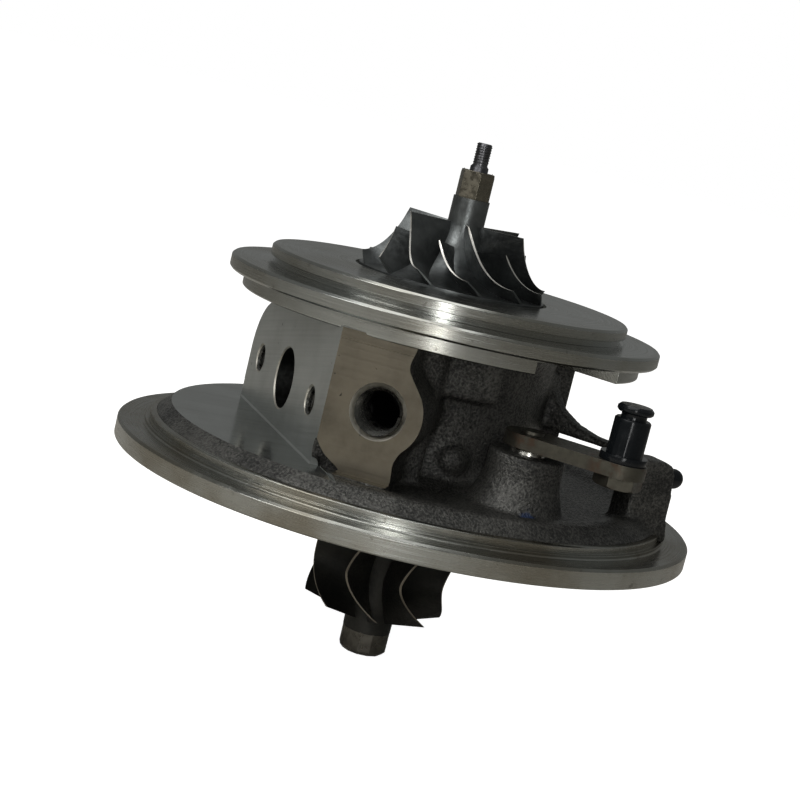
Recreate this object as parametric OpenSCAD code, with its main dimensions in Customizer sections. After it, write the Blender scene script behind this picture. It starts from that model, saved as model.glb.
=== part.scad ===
// Turbocharger cartridge: bearing housing with both flanges, rotor and vane lever. Millimetres.
// The frame stands on the rotor axis with z = 0 on the underside of the turbine side flange.
// +z runs to the compressor wheel, the oil drain pad looks along -x.

/* [Flanges] */
// Radius of the large flange on the turbine side
flange_r = 80; // [78:0.5:84]
// Thickness of the large flange at its rim
flange_t = 5.3; // [4.5:0.1:6]
// Radius of the machined step on the large flange
step_r = 71.6; // [70:0.2:73]
// Height of the small ledge at the foot of the step
ledge_h = 1.1; // [0.8:0.1:1.6]
// Width of that ledge
ledge_w = 1.2; // [0.8:0.1:2]
// Height of the machined band above the flange face
band_h = 2.9; // [2:0.1:3.6]
// Height of the cast crest above the flange face
crest_h = 8.1; // [7:0.1:9]
// Radius of the flange on the compressor side
top_flange_r = 59.5; // [58:0.5:62]
// Thickness of that flange
top_flange_t = 4; // [3:0.1:5]
// Radius of the compressor register
register_r = 49.4; // [48:0.1:50.5]
// Height of the register face above the large flange's face
register_h = 53.9; // [53:0.1:56]
// Width of the register's land above its seal groove
register_land = 2.95; // [2.5:0.05:3.4]
// Width of the seal groove under the land
register_groove_w = 1.75; // [1.5:0.05:2]
// Depth of the seal groove
register_groove_d = 1.4; // [1:0.1:1.8]
// Radius of the rim under the compressor side flange
rim_r = 55.1; // [54:0.1:56]
// Height of that rim
rim_h = 4.05; // [3:0.05:5]
// Edge break on the machined flanges
flange_chamfer = 0.6; // [0.3:0.1:1]

/* [Body] */
// Radius of the cast neck between the flanges
neck_r = 33; // [31:0.5:34]
// Radius of the thicker cast cheek beside the coolant port
cheek_r = 38; // [36:0.5:39]
// Distance of the drain pad from the rotor axis
drain_x = 40; // [38:0.5:42]
// Height of the drain holes above the flange's face
drain_h = 20; // [18:0.5:22]
// Radius of the drain hole
drain_hole_r = 8.2; // [7:0.1:9]
// Distance between the two drain bolts
drain_bolt_gap = 53; // [50:0.5:55]
// Radius of a drain bolt's tapped hole
drain_bolt_r = 3.4; // [3.3:0.05:3.5]
// Depth of a drain bolt's tapped hole
drain_bolt_l = 16; // [12:0.5:17]
// Height of the milled flat below the drain pad, above the flange's face
drain_flat_h = 6.4; // [6:0.1:7]
// Radius of the rounded corner of the drain pad
drain_corner_r = 15.7; // [12:0.1:17]
// Angle from the drain to the coolant port
port_angle = 58.5; // [57:0.5:61]
// Distance of the coolant port's pad from the rotor axis
port_d = 54.6; // [53.5:0.1:55]
// Height of the coolant port above the flange's face
port_h = 23.6; // [22.5:0.1:24.5]
// Radius of the coolant port's tapped hole
port_hole_r = 5.25; // [5.2:0.05:5.5]
// Length of the coolant port's tapped hole
port_hole_l = 14; // [10:0.5:16]
// Radius of the round boss about the coolant port
port_boss_r = 11.5; // [10.5:0.1:12]
// Distance of the second coolant port's pad from the rotor axis
port2_d = 46; // [44:0.5:48]
// Distance of the oil feed pad from the rotor axis
feed_x = 39; // [38:0.5:40]
// Width of the oil feed pad
feed_w = 22; // [20:0.5:24]
// Height of the oil feed above the flange's face
feed_h = 24; // [23:0.5:25]
// Radius of the oil feed's tapped hole
feed_hole_r = 4.5; // [4:0.1:5]
// Length of the oil feed's tapped hole
feed_hole_l = 12; // [10:0.5:14]
// Inner radius of the vane gear recess in the large flange
recess_r0 = 32; // [31.5:0.5:33]
// Wall between the vane gear recess and the large flange's step
recess_wall = 5.6; // [5:0.1:7]
// Depth of the vane gear recess
recess_d = 6.5; // [5.5:0.1:6.8]

/* [Rotor] */
// Radius of the shaft's bearing journals
journal_r = 3.7; // [3.5:0.05:3.9]
// Radius of the shaft's stub under the compressor wheel
stub_r = 2.5; // [2.3:0.05:2.7]
// Radius of the shaft's reduced tip
tip_r = 2; // [1.7:0.1:2.2]
// Radius of the compressor wheel
cw_r = 25.7; // [25:0.1:26]
// Height of the compressor wheel's inducer above the register face
cw_inducer_h = 16.9; // [16:0.1:18]
// Radius of the compressor wheel's inducer
cw_inducer_r = 17.8; // [17:0.1:18.5]
// Blade height at the compressor wheel's rim
cw_exit_b = 3.3; // [3:0.1:3.8]
// Radius of the compressor wheel's nose
cw_nose_r = 5; // [4.7:0.1:5.4]
// Length of the compressor wheel's nose above its blades
cw_nose_l = 6.6; // [5.5:0.1:8]
// Number of full blades, and of splitters, on the compressor wheel
cw_blades = 6; // [5:1:7]
// Turn of a compressor blade from inducer to rim along its tip
cw_wrap = 36; // [30:1:40]
// Extra turn along the compressor blade's root
cw_rake = 12; // [8:1:14]
// Width across flats of the compressor nut
cw_nut_af = 8.5; // [8:0.1:9]
// Height of the compressor nut
cw_nut_h = 7.4; // [6.5:0.1:8]
// Length of shaft that stands out of the compressor nut
shaft_end_l = 7.7; // [6:0.1:9]
// Radius of the turbine wheel's inducer
tw_r = 23; // [22:0.1:24]
// Radius of the turbine wheel's exducer
tw_exducer_r = 19.2; // [18.5:0.1:20]
// Depth of the turbine exducer's tips below the flange's underside
tw_l = 32.9; // [31:0.1:34]
// Radius of the turbine wheel's nose
tw_nose_r = 6.7; // [6:0.1:7.2]
// Depth of the turbine wheel's nose below the flange's underside
tw_nose_l = 46.7; // [44:0.1:48]
// Number of turbine blades
tw_blades = 8; // [7:1:9]

/* [Bearings and seals] */
// Outer radius of the journal bearing
bearing_r = 7; // [6.6:0.05:7.3]
// Radial running clearance of the bearings and bushes
run_gap = 0.03; // [0.02:0.01:0.08]
// Free gap between turning and still pieces
free_gap = 0.4; // [0.3:0.05:0.5]
// Radius of the thrust bearing
thrust_r = 16.4; // [15.5:0.1:17]
// Thickness of the thrust bearing
thrust_t = 4; // [3.5:0.1:4.2]
// Radius of the seal plate
plate_r = 22; // [21.5:0.1:22.4]
// Thickness of the seal plate
plate_t = 5.4; // [5:0.1:5.5]
// Thickness of the seal plate's circlip
circlip_t = 1.2; // [1:0.05:1.3]
// Radius of the turbine seal bore
tseal_r = 8.5; // [8:0.1:9]
// Thickness of a piston seal ring
ring_t = 1.2; // [1:0.1:1.4]
// Thickness of the heat shield
shield_t = 1; // [0.8:0.1:1.2]

/* [Vane lever] */
// Spindle position across the drain's line of sight
spindle_x = 15.35; // [14.5:0.05:16]
// Spindle position along the drain pad
spindle_y = -42.3; // [-43:0.1:-42]
// Radius of the spindle
spindle_r = 3; // [2.8:0.1:3.2]
// Radius of the cast spindle boss
boss_r = 10; // [9:0.1:10.5]
// Height of the spindle boss above the flange's face
boss_h = 19.3; // [18.5:0.1:20]
// Outer radius of the spindle bush
bush_r = 4.7; // [4.3:0.1:5]
// Height of the bush above the boss
bush_stand = 1.2; // [0.8:0.1:1.25]
// Height of the lever's underside above the boss
lever_gap = 1.6; // [1.6:0.1:2]
// Thickness of the lever
lever_t = 3.6; // [3:0.1:4]
// Distance from spindle to lever pin
lever_l = 24.7; // [24:0.1:25.5]
// Direction of the lever seen from above
lever_angle = -42.9; // [-45:0.1:-40]
// Width of the lever's bar
lever_w = 5; // [4.5:0.1:6]
// Radius of the lever's end at the spindle
lever_r0 = 7; // [6.5:0.1:7.5]
// Radius of the lever's end at the pin
lever_r1 = 6.5; // [6.2:0.1:7]
// Radius of the pin's foot
pin_foot_r = 6.1; // [5.6:0.1:6.2]
// Height of the pin's foot
pin_foot_h = 1.9; // [1.5:0.1:2.2]
// Radius of the pin
pin_r = 4.7; // [4.4:0.1:5]
// Length of the pin's plain body
pin_l = 9.3; // [8.5:0.1:10]
// Radius of the pin's groove
pin_groove_r = 3.3; // [3:0.1:3.6]
// Width of the pin's groove
pin_groove_w = 1.4; // [1.1:0.1:1.6]
// Height of the pin's head
pin_head_h = 2; // [1.6:0.1:2.3]
// Width across flats of the nut under the lever
pin_nut_af = 11; // [10:0.1:11.5]
// Height of that nut
pin_nut_h = 3; // [2.6:0.1:3.2]
// Room between the crank arm's end and the recess wall
crank_gap = 4; // [3:0.5:6]
// Distance of the stop screw's end inside the large flange's edge
stop_in = 8.8; // [8.4:0.1:9]
// Turn of the stop screw's end about the rotor axis
stop_turn = -30.7; // [-31.2:0.1:-30.4]
// Height of the stop screw above the flange's face
stop_h = 18.2; // [17.5:0.1:18.6]
// Direction of the stop screw's outer end
stop_angle = 11; // [8:1:14]
// Radius of the stop screw
stop_r = 2.7; // [2.4:0.1:2.8]
// Length of the stop screw inside the tower and through it
stop_l = 19.5; // [18.5:0.5:20]
// Width across flats of the stop screw's locknut
stop_nut_af = 8; // [7.5:0.1:8.5]
// Height of that locknut
stop_nut_h = 2.6; // [2.2:0.1:3]
// Height of the stop tower above the flange's face
tower_h = 23.2; // [22.5:0.1:24]
// Length of the stop tower
tower_l = 14; // [12:0.5:14.5]
// Width of the stop tower
tower_w = 11; // [10:0.5:12]

/* [Hidden] */
$fn = 64;
eps = 0.02;
round_fn = 32;
hole_fn = 48;
small_fn = 24;
hex_fn = 6;
face_z = flange_t;
reg_z = face_z + register_h;
reg_foot_z = reg_z - register_land - register_groove_w;
top_z = reg_foot_z;
under_z = top_z - top_flange_t;
rim_z = under_z - rim_h;
crest_z = face_z + crest_h;
flat_z = face_z + drain_flat_h;
valley_drop = 3.2;
crest_inset = 4.4;
valley_z = crest_z - valley_drop;
crest_r = step_r - crest_inset;
recess_r1 = step_r - recess_wall;
// Roundings of the turned casting
band_lead = 0.7;
band_rise = 0.4;
crest_out = 2.5;
crest_fall = 1.8;
crest_edge = 1.2;
crest_edge_fall = 0.5;
crest_in = 2;
crest_in_fall = 0.2;
slope_w = 5;
slope_h = 1.2;
slope_foot = 8;
fillet = 7;
fillet_in = 2;
// Rim, cheek and bump of the casting
rim_w = 8;
rim_skin = 0.1;
rim_gap_at = -83.5;
rim_gap_a = 32.3;
cheek_at = -116;
cheek_a = 35;
cheek_rise = 5;
bump_at = -91.3;
bump_drop = 11.5;
bump_r = 3.6;
bump_out = 1;
// Length by which a cut runs out of its solid
cut = 1;
drain_z = face_z + drain_h;
port_z = face_z + port_h;
feed_z = face_z + feed_h;
port_a = 180 + port_angle;
port2_a = port_angle;
// Stack of the compressor end, from the pocket under the wheel down
pocket_d = 1.15;
pocket_gap = 0.9;
wheel_sink = 0.5;
circlip_lip = 0.75;
circlip_bite = 1;
circlip_w = 2.4;
circlip_open = 10;
circlip_play = 0.03;
collar_flange = 2.4;
pocket_z = reg_z - pocket_d;
pocket_r = cw_r + pocket_gap;
cw_back_z = reg_z - wheel_sink;
circlip_z = pocket_z - circlip_lip - circlip_t;
plate_z = circlip_z - plate_t;
thrust_z = plate_z - thrust_t;
circlip_r = plate_r + circlip_bite;
plate_fit = 0.05;
collar_z = thrust_z - collar_flange;
flinger_z = plate_z + free_gap;
sleeve_r = 5;
flinger_r = 7.5;
flinger_t = 1.5;
sleeve_play = 0.7;
plate_bore_r = sleeve_r + sleeve_play;
plate_room = 0.2;
plate_lip = 1.2;
o_groove_z0 = 1.6;
o_groove_z1 = 3.6;
o_groove_d = 1.65;
o_ring_r = 0.8;
thrust_hole_r = 1.2;
thrust_hole_in = 3.5;
flinger_neck = 1;
flinger_room = 2;
groove_d = 1.1;
ring_w = 1.1;
ring_slit = 0.3;
// Turbine end
hub_z = 2;
shoulder_z = 10;
bear_z0 = 14;
bear_end = 1;
bear_z1 = collar_z - bear_end;
bear_room = 0.4;
bear_lead = 1.5;
relief_z0 = 19;
relief_z1 = 33;
relief_d = 2.2;
relief_r = bearing_r + relief_d;
relief_l0 = 2;
relief_l1 = 6;
relief_wall = 1;
core_lap = 4;
drain_core_x = relief_r + core_lap;
drain_core_r = 6;
drain_lead = 0.5;
bolt_lead = 0.6;
ring_rise = 3.2;
ring_z = hub_z + ring_rise;
spigot_w = 3;
spigot_h = 3;
spigot_r = recess_r0 - spigot_w;
shield_bore = 1.5;
shield_h = 2.4;
shaft_groove_d = 1.5;
shaft_lead = 1;
stub_lead = 0.6;
stub_stand = 1.2;
tip_lead = 0.3;
jacket_r0 = 19;
jacket_r1 = 27;
jacket_z0 = 37;
jacket_z1 = 43.4;
jacket_core_r = 23;
coolant_r = 4.2;
port_lead = 1.4;
feed_lead = 1.1;
oil_r = 1.5;
oil_end = 2;
oil_pin_in = 1.6;
oil_pin_l = 12;
oil_pin_bore = 0.7;
port_root = 6;
feed_root = 14;
feed_drop = 11;
port_left = 3.5;
drain_out = 6;
drain_in = 10;
drain_side = 2;
drain_corner_in = 1.8;
drain_rise = 1;
drain_round = 1.4;
flat_lap = 1.6;
flat_in = 5;
// Lever heights
boss_z = face_z + boss_h;
lever_z = boss_z + lever_gap;
pin_z = lever_z + lever_t;
stop_z = face_z + stop_h;
tower_z = face_z + tower_h;
pin_shank_r = 3;
crank_z = 1.4;
crank_t = 3.4;
crank_w_r = 5.4;
crank_end_r = 4;
crank_pin_r = 2;
crank_pin_l = 4;
crank_waist = 0.6;
crank_l = recess_r1 - norm([spindle_x, spindle_y]) - crank_end_r - crank_gap;
stop_x = (flange_r - stop_in) * cos(stop_turn);
stop_y = (flange_r - stop_in) * sin(stop_turn);
stop_stand = 0.6;
tower_foot = 1.6;
tower_foot_h = 3;
tower_lean = 0.3;
tower_lean_h = 7;
tower_round = 5;
tower_round_in = 1.2;
tower_round_h = 1.4;
tower_top_in = 4;
tower_top_h = 0.4;
web_turn = -24.5;
web_t = 6;
web_h = 14;
web_d = 1.2;
web_lip = 0.2;
web_root = 8;
web_power = 4;
web_in = 0.45;
web_off = 1.25;
web_foot = (neck_r + bump_out) * [cos(web_turn), sin(web_turn)];
web_x = -tower_l + web_in;
web_y = tower_w / 2 + web_off;
web_end = [
  stop_x + web_x * cos(stop_angle) - web_y * sin(stop_angle),
  stop_y + web_x * sin(stop_angle) + web_y * cos(stop_angle)
];
web_l = norm(web_end - web_foot);
web_a = atan2(web_end[1] - web_foot[1], web_end[0] - web_foot[0]);
web_n = 6;
spindle_a = atan2(spindle_y, spindle_x);
spindle_groove_d = 0.6;
spindle_ring_z = 12;
spindle_ring_t = 1.2;
spindle_ring_w = 0.25;
spindle_ring_slit = 0.4;
spindle_ring_turn = 200;
spindle_foot = 0.6;
spindle_top = 0.8;
pin_end = 0.3;
pin_lead = 0.4;
pin_head_lead = 0.5;
pin_top_lead = 0.7;
pin_nut_turn = 25;
pin_nut_edge = 0.2;
pin_nut_round = 4;
// Turbine blade line: the tip bends back at this depth
tw_bend_z = -21.7;
tw_bend_a = -137.3;
tw_front_z = -3.2;
tw_back_gap = 1.2;
tw_back_z = -shield_t - tw_back_gap;
tw_back_rise = 0.6;
tw_stub_in = 1;
tw_hub_fall = 7;
tw_tip_fall = 7.5;
tw_tip_z = -8;
tw_back_l = 10.4;
tw_back_a = 29.3;
tw_back_power = 1.75;
tw_fore_l = 6.3;
tw_fore_a = 6.4;
tw_fore_power = 1.5;
tw_root_l = 4;
tw_root_in = 1.2;
tw_root_min = 3;
tw_taper_l = 4.5;
tw_taper = tw_l + tw_taper_l + tw_front_z;
tw_cap_l = 3.6;
tw_cap_h = 3;
tw_cap_lead = 1;
tw_cap_fn = 12;
tw_hub_r = 18.5;
tw_blade_t0 = 1.7;
tw_blade_t1 = 0.8;
cw_blade_t0 = 1.2;
cw_blade_t1 = 0.6;
cw_rim_t = 0.85;
cw_root_in = 0.8;
cw_root_d = 0.4;
cw_rim_d = 0.5;
cw_nut_turn = 20;
cw_nut_round = 2.4;
cw_nut_top = 0.3;
cw_top_z = reg_z + cw_inducer_h;
cw_rim_z = cw_back_z + cw_rim_t;
cw_split = 22.7;
cw_nose_z = cw_top_z + cw_nose_l;
nut_z1 = cw_nose_z + cw_nut_h;
shaft_z1 = nut_z1 + shaft_end_l;
blade_n = 8;
curve_n = 12;

// A tube standing on z0
module tube(r1, r0, z0, z1) {
  translate([0, 0, z0]) difference() {
    cylinder(r = r1, h = z1 - z0);
    translate([0, 0, -eps]) cylinder(r = r0, h = z1 - z0 + 2 * eps);
  }
}

// A flat outline in y and z pushed out along +x
module push_x(x0, x1) {
  translate([x0, 0, 0]) rotate([90, 0, 90]) linear_extrude(height = x1 - x0) children();
}

// A drilled hole with a chamfered mouth, opening at x = face along +x
module mouth_x(face, z, r, l, lead) {
  translate([face - l, 0, z]) rotate([0, 90, 0]) cylinder(r = r, h = l + cut, $fn = hole_fn);
  translate([face - lead, 0, z]) rotate([0, 90, 0])
    cylinder(r1 = r, r2 = r + lead + eps, h = lead + eps, $fn = hole_fn);
}

// Outline of the turned casting, both flanges and the neck in one
module body_outline() {
  polygon([
    [0, 0],
    [flange_r, 0],
    [flange_r, face_z - flange_chamfer],
    [flange_r - flange_chamfer, face_z],
    [step_r + ledge_w, face_z],
    [step_r + ledge_w, face_z + ledge_h],
    [step_r, face_z + ledge_h],
    [step_r, face_z + band_h],
    [step_r - band_lead, face_z + band_h + band_rise],
    [crest_r + crest_out, crest_z - crest_fall],
    [crest_r + crest_edge, crest_z - crest_edge_fall],
    [crest_r, crest_z],
    [crest_r - crest_in, crest_z - crest_in_fall],
    [crest_r - slope_w, valley_z + slope_h],
    [crest_r - slope_foot, valley_z],
    [neck_r + fillet, valley_z],
    [neck_r + fillet_in, valley_z + fillet_in],
    [neck_r, valley_z + fillet],
    [neck_r, under_z - fillet],
    [neck_r + fillet_in, under_z - fillet_in],
    [neck_r + fillet, under_z],
    [top_flange_r - flange_chamfer, under_z],
    [top_flange_r, under_z + flange_chamfer],
    [top_flange_r, top_z - flange_chamfer],
    [top_flange_r - flange_chamfer, top_z],
    [register_r - register_groove_d, top_z],
    [register_r - register_groove_d, top_z + register_groove_w],
    [register_r, top_z + register_groove_w],
    [register_r, reg_z - flange_chamfer],
    [register_r - flange_chamfer, reg_z],
    [0, reg_z]
  ]);
}

// Rim under the compressor side flange, open where the lever works
module rim() {
  difference() {
    tube(rim_r, rim_r - rim_w, rim_z, under_z + eps);
    rotate([0, 0, rim_gap_at]) translate([0, 0, rim_z - cut])
      rotate_extrude(angle = rim_gap_a) square([rim_r + cut, rim_h + cut - rim_skin]);
    rotate([0, 0, port_a]) translate([port_d, -port_boss_r, rim_z - cut])
      cube([rim_w, 2 * port_boss_r, rim_h + 2 * cut]);
  }
}

// Block of the oil drain, a slice of a round casting with one rounded corner
module drain_block() {
  intersection() {
    push_x(-rim_r - drain_out, -drain_in) {
      corner_y = drain_x - drain_corner_in - drain_corner_r;
      corner_z = drain_z + drain_rise;
      low_z = valley_z - cut;
      translate([-drain_x + drain_side, low_z])
        square([drain_x - drain_side + corner_y, under_z - low_z + eps]);
      translate([corner_y, low_z]) square([drain_corner_r, corner_z - low_z]);
      translate([corner_y, corner_z]) circle(r = drain_corner_r);
    }
    translate([0, 0, valley_z - cut]) cylinder(r = rim_r + drain_round, h = under_z - valley_z + 2 * cut);
  }
  intersection() {
    translate([0, 0, valley_z - cut]) cylinder(r = crest_r, h = flat_z - valley_z + flat_lap);
    translate([-flange_r - drain_x + flat_in, -flange_r, 0]) cube([flange_r, 2 * flange_r, crest_z]);
  }
}

// Face of the coolant port: a round boss, a square shoulder toward the drain and a tail
module port_face() {
  translate([0, port_z]) circle(r = port_boss_r);
  polygon([
    [-port_boss_r - port_left, port_z - 8.5],
    [-port_boss_r - 2, port_z - 8.8],
    [-port_boss_r + 0.7, port_z - 12.9],
    [-7, port_z - 15.4],
    [-2.8, port_z - 16.8],
    [2, port_z - 16.9],
    [6.6, port_z - 15.4],
    [6.4, port_z - 11.6],
    [8.4, port_z - 9.2],
    [9.3, port_z + 7.6],
    [7.4, port_z + 9.6],
    [5.3, port_z + 11.5],
    [5.1, port_z + 13.6],
    [5.9, rim_z - 0.8],
    [7, under_z],
    [-port_boss_r - port_left, under_z]
  ]);
}

// Tower that carries the stop screw, with the web that ties it to the neck
module stop_tower() {
  translate([stop_x, stop_y, face_z]) rotate([0, 0, stop_angle])
    translate([-tower_l - stop_stand, tower_w / 2, 0]) rotate([90, 0, 0])
      linear_extrude(height = tower_w) polygon([
        [0, 0],
        [tower_l + tower_foot, 0],
        [tower_l + tower_foot, tower_foot_h],
        [tower_l + tower_lean, tower_lean_h],
        [tower_l, tower_h - tower_round],
        [tower_l - tower_round_in, tower_h - tower_round_h],
        [tower_l - tower_top_in, tower_h - tower_top_h],
        [0, tower_h]
      ]);
  translate([web_foot[0], web_foot[1], tower_z]) rotate([0, 0, web_a])
    translate([0, web_t / 2, 0]) rotate([90, 0, 0])
      linear_extrude(height = web_t) polygon(concat(
        [[-web_root, web_h], [-web_root, -web_d], [web_l, -web_d]],
        [for (i = [0:web_n]) let (t = i / web_n) [web_l * (1 - t), web_lip + (web_h - web_lip) * pow(t, web_power)]]
      ));
}

// Everything the casting is made of before it is bored
module housing_solid() {
  rotate_extrude($fn = 96) body_outline();
  rim();
  drain_block();
  rotate([0, 0, port_a]) push_x(neck_r - port_root, port_d) port_face();
  rotate([0, 0, port2_a]) push_x(neck_r - port_root, port2_d) translate([0, port_z]) circle(r = port_boss_r);
  push_x(neck_r - feed_root, feed_x)
    translate([-feed_w / 2, feed_z - feed_drop]) square([feed_w, under_z - feed_z + feed_drop]);
  rotate([0, 0, cheek_at]) translate([0, 0, port_z + cheek_rise])
    rotate_extrude(angle = cheek_a) square([cheek_r, under_z - port_z - cheek_rise]);
  translate([spindle_x, spindle_y, recess_d]) cylinder(r = boss_r, h = boss_z - recess_d);
  rotate([0, 0, bump_at]) translate([neck_r + bump_out, 0, port_z - bump_drop])
    sphere(r = bump_r, $fn = round_fn);
  stop_tower();
}

// Bores along the rotor axis
module rotor_bores() {
  rotate_extrude() polygon([
    [0, -cut],
    [tseal_r, -cut],
    [tseal_r, shoulder_z + bear_lead],
    [bearing_r, shoulder_z + bear_lead],
    [bearing_r, relief_z0],
    [relief_r, relief_z0],
    [relief_r, relief_z1],
    [bearing_r, relief_z1],
    [bearing_r, bear_z1 + bear_room],
    [flinger_r + flinger_room, bear_z1 + bear_room],
    [flinger_r + flinger_room, thrust_z],
    [thrust_r + plate_fit, thrust_z],
    [thrust_r + plate_fit, plate_z],
    [plate_r + plate_fit, plate_z],
    [plate_r + plate_fit, circlip_z - circlip_play],
    [circlip_r + plate_fit, circlip_z - circlip_play],
    [circlip_r + plate_fit, circlip_z + circlip_t + plate_fit],
    [plate_r + plate_fit, circlip_z + circlip_t + plate_fit],
    [plate_r + plate_fit, pocket_z],
    [pocket_r, pocket_z],
    [pocket_r, reg_z + cut],
    [0, reg_z + cut]
  ]);
}

// Cored passages for oil and coolant
module passages() {
  rotate([0, 0, 180]) {
    mouth_x(drain_x, drain_z, drain_hole_r, drain_x - drain_core_x, drain_lead);
    translate([relief_r - spigot_w, 0, drain_z]) rotate([0, 90, 0])
      cylinder(r = drain_core_r, h = drain_core_x - relief_r + core_lap);
    for (side = [-1, 1]) {
      translate([0, side * drain_bolt_gap / 2, 0])
        mouth_x(drain_x, drain_z, drain_bolt_r, drain_bolt_l, bolt_lead);
    }
  }
  tube(jacket_r1, jacket_r0, jacket_z0, jacket_z1);
  for (p = [[port_a, port_d], [port2_a, port2_d]]) {
    rotate([0, 0, p[0]]) {
      mouth_x(p[1], port_z, port_hole_r, port_hole_l, port_lead);
      translate([jacket_core_r, 0, port_z]) {
        rotate([0, 90, 0]) cylinder(r = coolant_r, h = p[1] - jacket_core_r - core_lap);
        cylinder(r = coolant_r, h = jacket_z1 - port_z - cut);
        sphere(r = coolant_r, $fn = round_fn);
      }
    }
  }
  mouth_x(feed_x, feed_z, feed_hole_r, feed_hole_l, feed_lead);
  translate([0, 0, feed_z]) rotate([0, 90, 0]) cylinder(r = oil_r, h = feed_x - oil_end, $fn = round_fn);
}

module bearing_housing() {
  color([0.3, 0.3, 0.3]) difference() {
    housing_solid();
    translate([-flange_r - drain_x, -flange_r, flat_z]) cube([flange_r, 2 * flange_r, rim_z - flat_z]);
    rotor_bores();
    passages();
    tube(recess_r1, recess_r0, -cut, recess_d);
    tube(recess_r0 + eps, spigot_r, -cut, spigot_h);
    translate([spindle_x, spindle_y, 0]) cylinder(r = bush_r, h = boss_z + cut);
    at_stop() translate([0, 0, -tower_l - stop_nut_h])
      cylinder(r = stop_r, h = tower_l + tower_lean_h, $fn = round_fn);
  }
}

module seal_plate() {
  color([0.55, 0.56, 0.58]) rotate_extrude() polygon([
    [plate_bore_r, flinger_z + flinger_t + free_gap + plate_room],
    [flinger_r + plate_lip, flinger_z + flinger_t + free_gap + plate_room],
    [flinger_r + plate_lip, plate_z],
    [plate_r, plate_z],
    [plate_r, plate_z + o_groove_z0],
    [plate_r - o_groove_d, plate_z + o_groove_z0],
    [plate_r - o_groove_d, plate_z + o_groove_z1],
    [plate_r, plate_z + o_groove_z1],
    [plate_r, circlip_z],
    [plate_bore_r, circlip_z]
  ]);
}

module seal_plate_o_ring() {
  color([0.05, 0.05, 0.05]) translate([0, 0, plate_z + (o_groove_z0 + o_groove_z1) / 2])
    rotate_extrude() translate([plate_r - o_ring_r, 0]) circle(r = o_ring_r, $fn = small_fn);
}

module seal_plate_circlip() {
  color([0.2, 0.2, 0.22]) difference() {
    tube(circlip_r, plate_r - circlip_w, circlip_z, circlip_z + circlip_t);
    translate([0, -circlip_open / 2, circlip_z - cut])
      cube([circlip_r + cut, circlip_open, circlip_t + 2 * cut]);
  }
}

module thrust_bearing() {
  color([0.72, 0.55, 0.25]) difference() {
    tube(thrust_r, sleeve_r + free_gap, thrust_z, plate_z);
    translate([thrust_hole_in - thrust_r, 0, thrust_z - cut])
      cylinder(r = thrust_hole_r, h = thrust_t + 2 * cut, $fn = small_fn);
  }
}

module thrust_collar() {
  color([0.5, 0.5, 0.52]) difference() {
    union() {
      translate([0, 0, collar_z]) cylinder(r = flinger_r, h = thrust_z - free_gap - collar_z);
      translate([0, 0, collar_z]) cylinder(r = sleeve_r, h = flinger_z - collar_z);
    }
    translate([0, 0, collar_z - cut]) cylinder(r = stub_r, h = flinger_z - collar_z + 2 * cut);
  }
}

module oil_flinger() {
  color([0.45, 0.45, 0.48]) rotate_extrude() polygon([
    [stub_r, flinger_z],
    [flinger_r, flinger_z],
    [flinger_r, flinger_z + flinger_t],
    [sleeve_r, flinger_z + flinger_t],
    [sleeve_r, flinger_z + flinger_t + flinger_neck],
    [sleeve_r - groove_d, flinger_z + flinger_t + flinger_neck],
    [sleeve_r - groove_d, flinger_z + flinger_t + flinger_neck + ring_t + 2 * free_gap],
    [sleeve_r, flinger_z + flinger_t + flinger_neck + ring_t + 2 * free_gap],
    [sleeve_r, cw_back_z],
    [stub_r, cw_back_z]
  ]);
}

module compressor_seal_ring() {
  ring_z0 = flinger_z + flinger_t + flinger_neck + free_gap;
  color([0.6, 0.6, 0.62]) difference() {
    tube(plate_bore_r, sleeve_r - sleeve_play, ring_z0, ring_z0 + ring_t);
    translate([0, -ring_slit / 2, ring_z0 - cut]) cube([plate_bore_r + cut, ring_slit, ring_t + 2 * cut]);
  }
}

module turbine_seal_ring() {
  color([0.5, 0.5, 0.52]) difference() {
    tube(tseal_r, tseal_r - ring_w, ring_z, ring_z + ring_t);
    translate([0, -ring_slit / 2, ring_z - cut]) cube([tseal_r + cut, ring_slit, ring_t + 2 * cut]);
  }
}

module journal_bearing() {
  color([0.75, 0.6, 0.3]) difference() {
    tube(bearing_r - run_gap, journal_r + run_gap, bear_z0, bear_z1);
    tube(bearing_r + cut, bearing_r - relief_wall, relief_z0 + relief_l0, relief_z1 - relief_l1);
    translate([0, 0, feed_z]) rotate([0, 90, 0])
      cylinder(r = oil_r + free_gap, h = bearing_r + cut, $fn = round_fn);
  }
}

module bearing_pin() {
  color([0.6, 0.6, 0.62]) translate([bearing_r - oil_pin_in, 0, feed_z]) rotate([0, 90, 0]) difference() {
    cylinder(r = oil_r, h = oil_pin_l, $fn = round_fn);
    translate([0, 0, -cut]) cylinder(r = oil_pin_bore, h = oil_pin_l + 2 * cut, $fn = round_fn);
  }
}

module heat_shield() {
  color([0.4, 0.36, 0.33]) rotate_extrude() polygon([
    [tseal_r + shield_bore, -shield_t],
    [spigot_r + shield_t, -shield_t],
    [spigot_r + shield_t, shield_h],
    [spigot_r, shield_h],
    [spigot_r, 0],
    [tseal_r + shield_bore, 0]
  ]);
}

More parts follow.
